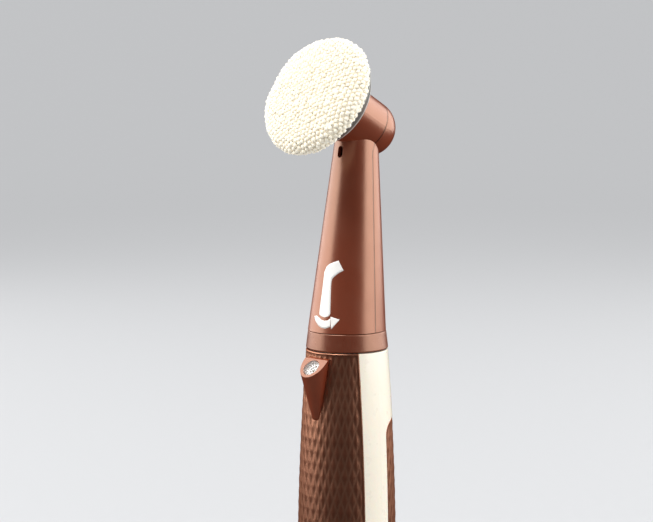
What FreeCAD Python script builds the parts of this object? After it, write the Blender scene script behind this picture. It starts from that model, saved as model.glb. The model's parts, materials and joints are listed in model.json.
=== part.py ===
import FreeCAD, Part
import math
import os
import Sketcher

Vector = FreeCAD.Vector

# A facial cleansing brush: a battery handle, a twist-on attachment with an angled head, and a
# round terry pad that the motor spins through a shaft and a pair of bevel gears.
# +Z runs up the handle, the pad faces -Y, and the origin is the mouth of the charging well.

# The driving dimensions, in millimetres and degrees.
SIZES = dict(
    # Fits
    seat_gap=0.05,  # between pieces that are fixed to each other
    running_gap=0.06,  # radial, between a shaft and its bush
    free_gap=0.3,  # between pieces that move past each other
    edge_round=0.5,
    # Handle form
    handle_height=125.0,
    top_radius=15.5,
    belly_radius=18.9,
    belly_height=37.0,
    foot_radius=15.0,
    foot_round=2.0,
    shell_wall=2.2,
    cap_height=9.0,
    # Soft grips, let into the shell
    grip_thickness=1.1,
    grip_bed_gap=0.1,
    grip_foot=12.0,
    grip_corner=6.0,
    front_grip_edge=7.6,
    back_grip_edge=3.2,
    back_grip_top=97.0,
    back_grip_round=5.5,
    back_grip_rise=20.0,
    # Lamp on the front grip
    pod_length=21.3,
    pod_tip_drop=23.7,
    pod_tip_sink=0.95,
    pod_tip_radius=2.0,
    pod_wall=2.65,  # outside the lens, at the pod's wide end
    pod_lean=5.0,
    lamp_tilt=45.0,
    lamp_drop=5.2,
    lamp_reach=3.3,
    lens_radius=3.35,
    lens_thickness=1.15,
    lens_crown=0.45,
    reflector_radius=3.0,
    reflector_depth=2.1,
    reflector_throat=1.55,
    lamp_led_radius=1.4,
    lamp_led_length=1.9,
    # Power button and indicator on the back grip
    button_height=70.0,
    button_radius=5.5,
    button_round=0.6,
    button_proud=0.7,
    button_crown=0.5,
    button_travel=0.5,
    button_flange_width=0.8,
    button_flange_depth=0.8,
    button_stem_radius=1.8,
    bezel_width=1.35,
    bezel_proud=0.35,
    indicator_drop=12.5,
    indicator_radius=1.2,
    indicator_proud=0.1,
    indicator_collar=0.8,
    # Base cap and charging well
    well_radius=4.0,
    well_depth=14.0,
    well_wall=1.2,
    cap_floor=2.4,
    cap_sleeve_height=4.0,
    cap_sleeve_wall=1.6,
    cap_sleeve_gap=0.1,
    gasket_section=0.5,
    gasket_proud=0.05,
    base_screw_offset=10.2,
    base_screw_radius=1.0,
    base_screw_head=2.0,
    base_screw_head_height=1.4,
    base_screw_recess=1.8,
    base_screw_length=12.5,
    base_post_radius=2.4,
    # Charging coil
    bobbin_wall=0.5,
    bobbin_flange=2.05,
    bobbin_flange_thickness=0.8,
    bobbin_length=10.0,
    coil_depth=1.3,
    # Chassis, battery and board
    chassis_floor=15.5,
    chassis_plate=2.0,
    chassis_rim_gap=0.3,
    spine_half_width=9.0,
    spine_thickness=1.8,
    spine_offset=4.7,
    battery_radius=7.1,
    battery_length=50.0,
    battery_offset=2.8,
    tab_thickness=0.6,
    tab_radius=4.0,
    board_standoff=0.6,
    standoff_radius=1.5,
    board_thickness=1.6,
    board_half_width=9.0,
    board_margin=2.5,
    board_length=56.0,
    switch_side=6.0,
    switch_height=3.3,
    plunger_radius=1.7,
    plunger_height=0.65,
    chip_side=7.0,
    chip_height=1.0,
    cell_side=3.2,
    capacitor_radius=2.0,
    capacitor_height=4.5,
    board_led_side=2.0,
    board_led_height=1.1,
    # Motor
    motor_radius=12.2,
    motor_length=30.0,
    motor_boss_radius=3.0,
    motor_boss_height=1.5,
    motor_shaft_radius=1.0,
    motor_shaft_inside=12.0,
    mount_thickness=2.7,
    motor_screw_offset=6.5,
    motor_screw_radius=0.95,
    motor_screw_head=1.8,
    motor_screw_head_height=1.2,
    motor_screw_depth=3.0,
    # Bayonet between handle and attachment
    spigot_inner=9.2,
    spigot_outer=11.5,
    spigot_rise=5.6,
    spigot_flange_radius=13.2,
    spigot_flange_height=2.8,
    spigot_flange_drop=10.5,
    spigot_groove_depth=1.2,
    lug_height=1.7,
    lug_rise=2.3,
    lug_depth=1.1,
    lug_sweep=10.0,
    twist_angle=30.0,
    twist_slack=3.0,
    collar_seal_rise=1.0,
    collar_seal_section=0.5,
    collar_seal_proud=0.1,
    # Collar
    collar_gap=0.35,
    collar_height=6.75,
    collar_lip=0.1,
    neck_seam=0.2,
    sleeve_inner=8.2,
    sleeve_outer=10.9,
    sleeve_height=5.8,
    collar_screw_circle=9.55,
    collar_screw_radius=0.75,
    collar_screw_head=1.35,
    collar_screw_head_height=1.0,
    collar_screw_depth=3.0,
    # Neck
    neck_length=71.7,
    neck_base_radius=14.7,
    neck_top_radius=8.1,
    neck_lean=5.1,
    neck_wall=1.6,
    rib_height=2.0,
    plate_thickness=2.5,
    plate_gap=0.15,
    upper_plate_drop=7.0,
    upper_rib_inset=1.2,
    bush_radius=2.9,
    bush_length=3.4,
    # Head
    head_tilt=27.5,
    head_setback=5.7,
    head_rise=3.8,
    head_radius=10.7,
    head_wall=1.6,
    head_length=19.0,
    head_front=3.0,
    head_seam=1.3,
    drain_slot_width=2.4,
    drain_slot_length=4.4,
    drain_slot_drop=4.8,
    rear_boss_radius=4.0,
    rear_bush_radius=2.75,
    rear_bush_length=3.0,
    rear_bush_end=4.5,
    front_bush_radius=3.45,
    seal_length=1.2,
    seal_gap=0.15,
    # Drive line
    shaft_root_rise=3.3,
    shaft_radius=1.5,
    shaft_tip_radius=1.0,
    spindle_radius=1.5,
    clip_groove=0.3,
    clip_radius=2.7,
    clip_thickness=0.5,
    apex_reach=6.0,
    pinion_teeth=10,
    gear_teeth=20,
    cone_outer=8.5,
    cone_inner=5.6,
    tooth_thinning=0.45,
    tooth_addendum=0.42,
    tooth_dedendum=0.62,
    pressure_angle=20.0,
    pinion_hub_radius=2.3,
    pinion_hub_length=2.6,
    gear_disc_radius=5.2,
    gear_disc_thickness=1.8,
    gear_hub_radius=2.8,
    gear_hub_length=2.2,
    coupling_radius=3.2,
    coupling_hub_length=4.5,
    dog_inner=1.3,
    dog_sweep=50.0,
    dog_reach=1.7,
    dog_end_gap=0.55,
    # Brush
    plate_hub_start=19.6,
    plate_hub_radius=4.0,
    plate_skirt_start=20.0,
    plate_skirt_radius=17.0,
    plate_rim_radius=20.4,
    plate_face=25.6,
    plate_wall=1.2,
    plate_rim_round=0.5,
    plate_rim_height=0.9,
    hook_thickness=0.8,
    hook_radius=20.0,
    pad_radius=23.7,
    pad_widest=28.5,
    pad_crown=35.7,
    pad_shoulder_width=4.2,
    pad_shoulder_drop=2.5,
    pad_shoulder_round=5.2,
    pad_hem=24.7,
    pad_hem_radius=22.3,
    pad_side_round=5.5,
    pad_rim_gap=0.3,
)

LARGE = 60  # reaches past every piece, for the halves and prisms that only divide a form
OVERSHOOT = 1  # how far a cutting tool runs past the face that it opens
BACKWARD = -90  # turns a frame's Z out of the back of the handle
FORWARD = 90  # and out of its front
THIRDS = (0, 120, 240)  # where the bayonet lugs and the collar screws stand round the axis
FLANK_STEPS = 4  # straight spans that make up a tooth's flank


class Size:
    """A number, with the sheet expression that it follows."""

    def __init__(self, value, text):
        self.value = float(value)
        self.text = text

    def joined(self, sign, other, value):
        return Size(value, f"({self.text} {sign} {other.text})")

    def __add__(self, other):
        other = as_size(other)
        return self.joined("+", other, self.value + other.value)

    def __sub__(self, other):
        other = as_size(other)
        return self.joined("-", other, self.value - other.value)

    def __mul__(self, other):
        other = as_size(other)
        return self.joined("*", other, self.value * other.value)

    def __truediv__(self, other):
        other = as_size(other)
        return self.joined("/", other, self.value / other.value)

    def __radd__(self, other):
        return as_size(other) + self

    def __rsub__(self, other):
        return as_size(other) - self

    def __rmul__(self, other):
        return as_size(other) * self

    def __neg__(self):
        return as_size(0) - self


def as_size(number):
    if isinstance(number, Size):
        return number
    return Size(number, f"({number})")


def sine(angle):
    return Size(math.sin(math.radians(angle.value)), f"sin({angle.text})")


def cosine(angle):
    return Size(math.cos(math.radians(angle.value)), f"cos({angle.text})")


def tangent(angle):
    return Size(math.tan(math.radians(angle.value)), f"tan({angle.text})")


def arctangent(slope):
    return Size(math.degrees(math.atan(slope.value)), f"(atan({slope.text}) / 1deg)")


def root(square):
    return Size(math.sqrt(square.value), f"sqrt({square.text})")


def fill_sheet(sheet, sizes):
    """Write each size to a row of the sheet and hand the sizes back by name."""
    for row, (name, value) in enumerate(sizes.items(), start=1):
        sheet.set(f"A{row}", name)
        sheet.set(f"B{row}", str(value))
        sheet.setAlias(f"B{row}", name)
    return {name: Size(value, f"Sizes.{name}") for name, value in sizes.items()}


class Names:
    """The sizes, read as attributes."""

    def __init__(self, sizes):
        self.__dict__.update(sizes)


doc = FreeCAD.newDocument("FacialBrush")
sizes_sheet = doc.addObject("Spreadsheet::Sheet", "Sizes")
S = Names(fill_sheet(sizes_sheet, SIZES))
doc.recompute()


# ---- Frames: local axes turned about X, on which tilted pieces are built ----


class Frame:
    """Axes turned about X by an angle, with their origin at (0, y, z)."""

    def __init__(self, angle, y, z):
        self.angle = as_size(angle)
        self.y = as_size(y)
        self.z = as_size(z)

    def side_point(self, y, z):
        """The side-view place (Y, Z) of a local point in the plane X = 0."""
        turned_y = self.y + y * cosine(self.angle) - z * sine(self.angle)
        turned_z = self.z + y * sine(self.angle) + z * cosine(self.angle)
        return turned_y, turned_z


UPRIGHT = Frame(0, 0, 0)


def bind(thing, name, size):
    """Tie a property of a document object to the sheet."""
    thing.setExpression(name, as_size(size).text)


def put(thing, frame, x=0, y=0, z=0):
    """Place an object at a local point of a frame, with its own Z along the frame's."""
    if frame is UPRIGHT:
        place_y, place_z = as_size(y), as_size(z)
    else:
        place_y, place_z = frame.side_point(as_size(y), as_size(z))
        turn = FreeCAD.Rotation(Vector(1, 0, 0), frame.angle.value)
        thing.Placement = FreeCAD.Placement(Vector(0, 0, 0), turn)
        bind(thing, "Placement.Rotation.Angle", frame.angle)
    bind(thing, "Placement.Base.x", x)
    bind(thing, "Placement.Base.y", place_y)
    bind(thing, "Placement.Base.z", place_z)
    return thing


# ---- Sketched bodies ----


def fix(sketch, geometry, point, direction, axis, distance):
    """Hold one coordinate of a sketch point at a distance from the origin."""
    if distance.value == 0:
        sketch.addConstraint(Sketcher.Constraint("PointOnObject", geometry, point, axis))
        return
    constraint = Sketcher.Constraint(direction, geometry, point, distance.value)
    index = sketch.addConstraint(constraint)
    sketch.setExpression(f"Constraints[{index}]", distance.text)


def add_edge(sketch, start, end, radius):
    """Draw a line or a short arc; a positive radius turns left on the way."""
    first = Vector(start[0].value, start[1].value, 0)
    last = Vector(end[0].value, end[1].value, 0)
    if radius is None:
        return sketch.addGeometry(Part.LineSegment(first, last), False), 1, 2
    chord = last - first
    right = Vector(chord.y, -chord.x, 0).normalize()
    bend = abs(radius.value)
    rise = bend - math.sqrt(bend**2 - (chord.Length / 2) ** 2)
    turns_left = radius.value > 0
    middle = (first + last) / 2 + right * (rise if turns_left else -rise)
    geometry = sketch.addGeometry(Part.ArcOfCircle(first, middle, last), False)
    index = sketch.addConstraint(Sketcher.Constraint("Radius", geometry, bend))
    sketch.setExpression(f"Constraints[{index}]", (radius if turns_left else -radius).text)
    return (geometry, 1, 2) if turns_left else (geometry, 2, 1)


def outline(body, plane, corners):
    """A closed sketch on a plane of the body, through (x, y) or (x, y, radius of arriving arc)."""
    sketch = body.newObject("Sketcher::SketchObject", "Outline")
    support = [plane_of for plane_of in body.Origin.OriginFeatures if plane_of.Role == plane]
    sketch.AttachmentSupport = [(support[0], "")]
    sketch.MapMode = "FlatFace"
    points = [[as_size(number) for number in corner] for corner in corners]
    edges = []
    for start, end in zip(points, points[1:] + points[:1]):
        radius = end[2] if len(end) > 2 else None
        edges.append(add_edge(sketch, start, end, radius))
    for point, edge, following in zip(points, edges, edges[1:] + edges[:1]):
        geometry, first, last = edge
        meets = Sketcher.Constraint("Coincident", geometry, last, following[0], following[1])
        sketch.addConstraint(meets)
        fix(sketch, geometry, first, "DistanceX", -2, point[0])
        fix(sketch, geometry, first, "DistanceY", -1, point[1])
    return sketch


def turned(corners, frame=UPRIGHT):
    """A body turned about its own Z from a half section of (radius, height) corners."""
    body = doc.addObject("PartDesign::Body", "Turned")
    section = outline(body, "XZ_Plane", corners)
    turning = body.newObject("PartDesign::Revolution", "Turning")
    turning.Profile = section
    turning.ReferenceAxis = (section, ["V_Axis"])
    turning.Angle = 360
    return put(body, frame)


def plate(corners, low, high, frame=UPRIGHT, x=0, y=0):
    """A body with a flat outline, from one height to another."""
    body = doc.addObject("PartDesign::Body", "Plate")
    pad = body.newObject("PartDesign::Pad", "Thickness")
    pad.Profile = outline(body, "XY_Plane", corners)
    bind(pad, "Length", high - low)
    return put(body, frame, x, y, low)


def side_prism(corners):
    """A body with an outline drawn in the side view, running right across the object."""
    body = doc.addObject("PartDesign::Body", "SidePrism")
    pad = body.newObject("PartDesign::Pad", "Width")
    pad.Profile = outline(body, "YZ_Plane", corners)
    pad.SideType = "Symmetric"
    pad.Length = 2 * LARGE
    return body


def ring(inner, outer, low, high, frame=UPRIGHT):
    return turned([(inner, low), (outer, low), (outer, high), (inner, high)], frame)


def sector(inner, outer, start, sweep, low, high, frame=UPRIGHT):
    """A slice of a ring, from a start angle through a sweep of less than half a turn."""
    end = start + sweep
    corners = [
        (inner * cosine(start), inner * sine(start), -inner),
        (outer * cosine(start), outer * sine(start)),
        (outer * cosine(end), outer * sine(end), outer),
        (inner * cosine(end), inner * sine(end)),
    ]
    return plate(corners, low, high, frame)


# ---- Primitives and booleans ----


def cylinder(radius, low, high, frame=UPRIGHT, x=0, y=0):
    rod = doc.addObject("Part::Cylinder", "Cylinder")
    bind(rod, "Radius", radius)
    bind(rod, "Height", high - low)
    return put(rod, frame, x, y, low)


def cone(low_radius, high_radius, low, high, frame=UPRIGHT):
    taper = doc.addObject("Part::Cone", "Cone")
    bind(taper, "Radius1", low_radius)
    bind(taper, "Radius2", high_radius)
    bind(taper, "Height", high - low)
    return put(taper, frame, z=low)


def seal_loop(outer, section, height):
    """A round rubber ring that reaches an outer radius from its bed."""
    loop = doc.addObject("Part::Torus", "Loop")
    bind(loop, "Radius1", outer - section)
    bind(loop, "Radius2", section - S.seat_gap / 2)
    return put(loop, UPRIGHT, z=height)


def sphere(radius, frame):
    ball = doc.addObject("Part::Sphere", "Sphere")
    bind(ball, "Radius", radius)
    return put(ball, frame)


def block(x_span, y_span, z_span, frame=UPRIGHT):
    """A box between two values on each local axis."""
    box = doc.addObject("Part::Box", "Block")
    for side, (low, high) in zip(("Length", "Width", "Height"), (x_span, y_span, z_span)):
        bind(box, side, as_size(high) - as_size(low))
    return put(box, frame, x_span[0], y_span[0], z_span[0])


def cut(base, *tools):
    for tool in tools:
        result = doc.addObject("Part::Cut", "Cut")
        result.Base = base
        result.Tool = tool
        base = result
    return base


def fuse(*shapes):
    result = doc.addObject("Part::MultiFuse", "Fuse")
    result.Shapes = list(shapes)
    return result


def common(base, tool):
    result = doc.addObject("Part::Common", "Common")
    result.Base = base
    result.Tool = tool
    return result


def group(*shapes):
    """Separate solids kept in one sub-part."""
    result = doc.addObject("Part::Compound", "Group")
    result.Links = list(shapes)
    return result


# ---- The handle's form ----


def sweep_radius(rise, bulge):
    """Radius of an arc that starts upright and moves in by a bulge over a rise."""
    return (rise * rise + bulge * bulge) / (2 * bulge)


LOWER_SWEEP = sweep_radius(S.belly_height, S.belly_radius - S.foot_radius)
UPPER_SWEEP = sweep_radius(S.handle_height - S.belly_height, S.belly_radius - S.top_radius)


def handle_radius(height):
    """Outer radius of the handle at a height."""
    height = as_size(height)
    sweep = LOWER_SWEEP if height.value < S.belly_height.value else UPPER_SWEEP
    rise = height - S.belly_height
    return S.belly_radius - sweep + root(sweep * sweep - rise * rise)


def handle_form(inset, low, high):
    """The handle's solid form, moved in by an inset, with its top edge rounded."""
    shoulder = high - S.edge_round
    return turned([
        (0, low),
        (handle_radius(low) - inset, low),
        (S.belly_radius - inset, S.belly_height, LOWER_SWEEP),
        (handle_radius(shoulder) - inset, shoulder, UPPER_SWEEP),
        (handle_radius(shoulder) - inset - S.edge_round, high, S.edge_round),
        (0, high),
    ])


grip_bed = S.grip_thickness + S.grip_bed_gap
shell_outside = handle_form(as_size(0), S.cap_height, S.handle_height)
shell_bed = handle_form(grip_bed, S.cap_height, S.handle_height)
grip_inside = handle_form(S.grip_thickness, S.cap_height, S.handle_height)
bezel_outside = handle_form(-S.bezel_proud, S.cap_height, S.handle_height)

front_side = side_prism([
    (-LARGE, S.grip_foot),
    (-S.front_grip_edge - S.grip_corner, S.grip_foot),
    (-S.front_grip_edge, S.grip_foot + S.grip_corner, S.grip_corner),
    (-S.front_grip_edge, S.handle_height + LARGE),
    (-LARGE, S.handle_height + LARGE),
])

# The back grip's side edge bends over its top corner into a gently rising top edge.
top_tangent = S.back_grip_round / tangent((90 + S.back_grip_rise) / 2)
back_side = side_prism([
    (S.back_grip_edge + S.grip_corner, S.grip_foot, S.grip_corner),
    (LARGE, S.grip_foot),
    (LARGE, S.back_grip_top + (LARGE - S.back_grip_edge) * tangent(S.back_grip_rise)),
    (
        S.back_grip_edge + top_tangent * cosine(S.back_grip_rise),
        S.back_grip_top + top_tangent * sine(S.back_grip_rise),
    ),
    (S.back_grip_edge, S.back_grip_top - top_tangent, S.back_grip_round),
    (S.back_grip_edge, S.grip_foot + S.grip_corner),
])

# Frames on the handle: the lamp looks up and forward, the button and indicator look back.
pod_height = S.handle_height - S.pod_tip_drop
pod_top = S.handle_height - S.edge_round
POD = Frame(S.pod_lean, S.pod_tip_sink - handle_radius(pod_height), pod_height)
lamp_height = S.handle_height - S.lamp_drop
LAMP = Frame(S.lamp_tilt, -handle_radius(lamp_height) - S.lamp_reach, lamp_height)
BUTTON = Frame(BACKWARD, 0, S.button_height)
indicator_height = S.button_height - S.indicator_drop
INDICATOR = Frame(BACKWARD, 0, indicator_height)


# ---- Handle shell and grips ----

shoulder_height = S.handle_height - S.spigot_flange_drop + S.spigot_flange_height + S.seat_gap
button_hole = S.button_radius + S.free_gap
bezel_outer = button_hole + S.seat_gap + S.bezel_width
shell_cavity = fuse(
    handle_form(S.shell_wall, S.cap_height, shoulder_height),
    cylinder(S.spigot_outer + S.seat_gap, S.cap_height, S.handle_height + S.edge_round),
)
housing = cut(
    shell_outside,
    cut(fuse(front_side, back_side), shell_bed),
    shell_cavity,
    cylinder(button_hole, as_size(0), as_size(LARGE), BUTTON),
    cylinder(S.indicator_radius + S.seat_gap, as_size(0), as_size(LARGE), INDICATOR),
)
left_half = block((-LARGE, 0), (-LARGE, LARGE), (0, 2 * S.handle_height))


def housing_left():
    return common(housing, left_half)


def housing_right():
    return cut(housing, left_half)


def front_grip():
    return cut(common(shell_outside, front_side), grip_inside, pod_form(S.seat_gap))


def pod_form(growth):
    """The lamp's pod, a slim cone with a round tip, moved out by a growth."""
    tip = S.pod_tip_radius + growth
    return turned([
        (0, -tip),
        (tip, 0, tip),
        (S.lens_radius + S.pod_wall + growth, S.pod_length),
        (0, S.pod_length),
    ], POD)


def back_grip():
    skin = common(cut(shell_outside, grip_inside), back_side)
    return cut(
        skin,
        cylinder(bezel_outer + S.seat_gap, as_size(0), as_size(LARGE), BUTTON),
        cylinder(S.indicator_radius + S.seat_gap, as_size(0), as_size(LARGE), INDICATOR),
    )


# ---- Base cap ----

gasket_height = S.cap_height + S.cap_sleeve_height / 2
sleeve_outside = handle_radius(S.cap_height) - S.shell_wall - S.cap_sleeve_gap
gasket_bed = sleeve_outside + S.gasket_proud - 2 * S.gasket_section
cap_ceiling = S.well_depth + S.well_wall
post_top = S.chassis_floor - S.base_screw_length / 2


def base_cap():
    foot = handle_radius(S.foot_round)
    sleeve_top = S.cap_height + S.cap_sleeve_height
    sleeve_inside = sleeve_outside - S.cap_sleeve_wall
    body = turned([
        (S.well_radius, 0),
        (foot - S.foot_round, 0),
        (foot, S.foot_round, S.foot_round),
        (handle_radius(S.cap_height), S.cap_height, LOWER_SWEEP),
        (sleeve_outside, S.cap_height),
        (sleeve_outside, gasket_height - S.gasket_section),
        (gasket_bed, gasket_height - S.gasket_section),
        (gasket_bed, gasket_height + S.gasket_section),
        (sleeve_outside, gasket_height + S.gasket_section),
        (sleeve_outside, sleeve_top),
        (sleeve_inside, sleeve_top),
        (sleeve_inside, S.cap_floor),
        (S.well_radius + S.well_wall, S.cap_floor),
        (S.well_radius + S.well_wall, cap_ceiling),
        (0, cap_ceiling),
        (0, S.well_depth),
        (S.well_radius, S.well_depth),
    ])
    posts = [cylinder(S.base_post_radius, S.cap_floor / 2, post_top, x=x) for x in screw_sides()]
    holes = [
        cylinder(S.base_screw_radius + S.running_gap, as_size(-OVERSHOOT), as_size(LARGE), x=x)
        for x in screw_sides()
    ]
    recesses = [
        cylinder(S.base_screw_head + S.running_gap, as_size(-OVERSHOOT), S.base_screw_recess, x=x)
        for x in screw_sides()
    ]
    return cut(fuse(body, *posts), *holes, *recesses)


def screw_sides():
    return (-S.base_screw_offset, S.base_screw_offset)


def base_gasket():
    return seal_loop(sleeve_outside + S.gasket_proud, S.gasket_section, gasket_height)


def base_screws():
    bottom = S.base_screw_recess - S.base_screw_head_height
    screws = []
    for x in screw_sides():
        head = cylinder(S.base_screw_head, bottom, S.base_screw_recess, x=x)
        shank = cylinder(S.base_screw_radius, bottom, bottom + S.base_screw_length, x=x)
        driver = block(
            (x - S.base_screw_radius, x + S.base_screw_radius),
            (-S.edge_round / 2, S.edge_round / 2),
            (bottom - OVERSHOOT, bottom + S.edge_round),
        )
        screws.append(cut(fuse(head, shank), driver))
    return group(*screws)


# ---- Charging coil ----

bobbin_low = S.cap_floor + S.seat_gap


def coil_bobbin():
    inner = S.well_radius + S.well_wall + S.seat_gap
    core = inner + S.bobbin_wall
    top = bobbin_low + S.bobbin_length
    flange = S.bobbin_flange_thickness
    return turned([
        (inner, bobbin_low),
        (inner + S.bobbin_flange, bobbin_low),
        (inner + S.bobbin_flange, bobbin_low + flange),
        (core, bobbin_low + flange),
        (core, top - flange),
        (inner + S.bobbin_flange, top - flange),
        (inner + S.bobbin_flange, top),
        (inner, top),
    ])


def charging_coil():
    core = S.well_radius + S.well_wall + 2 * S.seat_gap + S.bobbin_wall
    low = bobbin_low + S.bobbin_flange_thickness + S.seat_gap
    high = bobbin_low + S.bobbin_length - S.bobbin_flange_thickness - S.seat_gap
    return ring(core, core + S.coil_depth, low, high)


# ---- Motor and its mount, hung from the spigot ----

spigot_low = S.handle_height - S.spigot_flange_drop
mount_top = spigot_low - S.seat_gap
motor_top = mount_top - S.mount_thickness
motor_low = motor_top - S.motor_length
screw_places = (-S.motor_screw_offset, S.motor_screw_offset)


def motor_can():
    can = turned([
        (0, motor_low),
        (S.motor_radius - S.edge_round, motor_low),
        (S.motor_radius, motor_low + S.edge_round, S.edge_round),
        (S.motor_radius, motor_top - S.edge_round),
        (S.motor_radius - S.edge_round, motor_top, S.edge_round),
        (S.motor_boss_radius, motor_top),
        (S.motor_boss_radius, motor_top + S.motor_boss_height),
        (S.motor_shaft_radius + S.running_gap, motor_top + S.motor_boss_height),
        (S.motor_shaft_radius + S.running_gap, motor_top - S.motor_shaft_inside - S.free_gap),
        (0, motor_top - S.motor_shaft_inside - S.free_gap),
    ])
    depth = motor_top - S.motor_screw_depth - S.free_gap
    radius = S.motor_screw_radius + S.seat_gap
    return cut(can, *[cylinder(radius, depth, motor_top + OVERSHOOT, x=x) for x in screw_places])


def motor_mount():
    rim = handle_radius(mount_top) - S.shell_wall - S.chassis_rim_gap
    disc = ring(S.motor_boss_radius + S.seat_gap, rim, motor_top, mount_top)
    radius = S.motor_screw_radius + S.seat_gap
    return cut(disc, *[cylinder(radius, motor_low, spigot_low + OVERSHOOT, x=x) for x in screw_places])


def motor_screws():
    screws = []
    for x in screw_places:
        shank = cylinder(S.motor_screw_radius, motor_top - S.motor_screw_depth, mount_top, x=x)
        head = cylinder(S.motor_screw_head, mount_top, mount_top + S.motor_screw_head_height, x=x)
        screws.append(fuse(shank, head))
    return group(*screws)


def motor_shaft():
    low = motor_top - S.motor_shaft_inside
    return cylinder(S.motor_shaft_radius, low, shaft_root - S.dog_reach - S.dog_end_gap)


def bayonet_spigot():
    section = S.collar_seal_section
    seal_height = S.handle_height + S.collar_seal_rise
    bed = S.spigot_outer + S.collar_seal_proud - 2 * section
    top = S.handle_height + S.spigot_rise
    flange_top = spigot_low + S.spigot_flange_height
    tube = turned([
        (S.spigot_inner, spigot_low),
        (S.spigot_flange_radius, spigot_low),
        (S.spigot_flange_radius, flange_top),
        (S.spigot_outer, flange_top),
        (S.spigot_outer, seal_height - section),
        (bed, seal_height - section),
        (bed, seal_height + section),
        (S.spigot_outer, seal_height + section),
        (S.spigot_outer, top - S.edge_round),
        (S.spigot_outer - S.edge_round, top, S.edge_round),
        (S.spigot_inner, top),
    ])
    low = S.handle_height + S.lug_rise - S.free_gap
    floor = S.spigot_outer - S.spigot_groove_depth
    outside = S.spigot_outer + OVERSHOOT
    half_lug = S.lug_sweep / 2 + S.twist_slack
    tools = []
    for turn in thirds():
        slot_start = turn + S.twist_angle - half_lug
        groove = sector(
            floor,
            outside,
            turn - half_lug,
            S.twist_angle + 2 * half_lug,
            low,
            low + S.lug_height + 2 * S.free_gap,
        )
        entry = sector(floor, outside, slot_start, 2 * half_lug, low, top + OVERSHOOT)
        tools += [groove, entry]
    return cut(tube, *tools)


def thirds():
    return [as_size(turn) for turn in THIRDS]


def collar_seal():
    outer = S.spigot_outer + S.collar_seal_proud
    return seal_loop(outer, S.collar_seal_section, S.handle_height + S.collar_seal_rise)


# ---- Chassis, battery and board ----

spine_back = S.spine_offset + S.spine_thickness
chassis_top = motor_low - S.seat_gap
battery_low = S.chassis_floor + S.chassis_plate + S.tab_thickness + 2 * S.seat_gap
battery_high = battery_low + S.battery_length
shelf_low = battery_high + S.tab_thickness + 2 * S.seat_gap
board_front = spine_back + S.board_standoff
board_back = board_front + S.board_thickness
board_low = S.chassis_floor + S.chassis_plate + S.board_margin
board_high = board_low + S.board_length
plunger_top = board_back + S.switch_height + S.plunger_height


def chassis():
    floor_top = S.chassis_floor + S.chassis_plate
    roof_low = chassis_top - S.chassis_plate
    floor_rim = handle_radius(S.chassis_floor) - S.shell_wall - S.chassis_rim_gap
    roof_rim = handle_radius(chassis_top) - S.shell_wall - S.chassis_rim_gap
    floor = cylinder(floor_rim, S.chassis_floor, floor_top)
    roof = cylinder(roof_rim, roof_low, chassis_top)
    width = (-S.spine_half_width, S.spine_half_width)
    spine = block(width, (S.spine_offset, spine_back), (S.chassis_floor, chassis_top))
    shelf_depth = (-S.battery_offset - S.tab_radius, S.spine_offset + S.spine_thickness / 2)
    shelf = block(
        (-S.battery_radius, S.battery_radius), shelf_depth, (shelf_low, shelf_low + S.chassis_plate)
    )
    cheeks = [
        block(
            (
                side * S.spine_half_width - S.spine_thickness / 2,
                side * S.spine_half_width + S.spine_thickness / 2,
            ),
            (-S.battery_offset, spine_back),
            (S.chassis_floor, shelf_low + S.chassis_plate),
        )
        for side in (-1, 1)
    ]
    posts = [
        cylinder(S.base_post_radius, post_top + S.seat_gap, floor_top, x=x) for x in screw_sides()
    ]
    reach = S.spine_half_width - S.board_margin
    rows = [
        Frame(BACKWARD, 0, height)
        for height in (board_low + S.board_margin, board_high - S.board_margin)
    ]
    standoffs = [
        cylinder(S.standoff_radius, spine_back - S.seat_gap, board_front, row, x=x)
        for row in rows
        for x in (-reach, reach)
    ]
    holes = [
        cylinder(S.base_screw_radius + S.seat_gap, post_top - OVERSHOOT, floor_top + OVERSHOOT, x=x)
        for x in screw_sides()
    ]
    well_room = cylinder(S.well_radius + S.well_wall + S.free_gap, as_size(0), cap_ceiling + S.free_gap)
    return cut(fuse(floor, roof, spine, shelf, *cheeks, *posts, *standoffs), *holes, well_room)


def battery():
    radius = S.battery_radius - S.seat_gap
    cell = turned([
        (0, battery_low),
        (radius - S.edge_round, battery_low),
        (radius, battery_low + S.edge_round, S.edge_round),
        (radius, battery_high - S.edge_round),
        (radius - S.edge_round, battery_high, S.edge_round),
        (0, battery_high),
    ])
    return put(cell, UPRIGHT, y=-S.battery_offset)


def battery_tabs():
    lower = battery_low - S.seat_gap - S.tab_thickness
    upper = battery_high + S.seat_gap
    return group(*[
        cylinder(S.tab_radius, low, low + S.tab_thickness, y=-S.battery_offset)
        for low in (lower, upper)
    ])


def main_board():
    width = (-S.board_half_width, S.board_half_width)
    return block(width, (board_front, board_back), (board_low, board_high))


def on_board(x_half, z_half, height, place):
    """A box component on the back face of the board, centred at a height."""
    return block(
        (-x_half, x_half), (board_back, board_back + height), (place - z_half, place + z_half)
    )


def tact_switch():
    half = S.switch_side / 2
    body = on_board(half, half, S.switch_height, S.button_height)
    return fuse(body, cylinder(S.plunger_radius, board_back, plunger_top, BUTTON))


def board_components():
    half = S.chip_side / 2
    middle = (board_low + board_high) / 2
    controller = on_board(half, half, S.chip_height, middle)
    charger = on_board(S.cell_side, S.cell_side / 2, S.chip_height, middle - 2 * S.chip_side)
    height = board_low + S.chip_side
    frame = Frame(BACKWARD, 0, height)
    top = board_back + S.capacitor_height
    store = cylinder(S.capacitor_radius, board_back, top, frame, x=S.cell_side)
    return group(controller, charger, store)


def indicator_led():
    half = S.board_led_side / 2
    return on_board(half, half, S.board_led_height, indicator_height)


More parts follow.
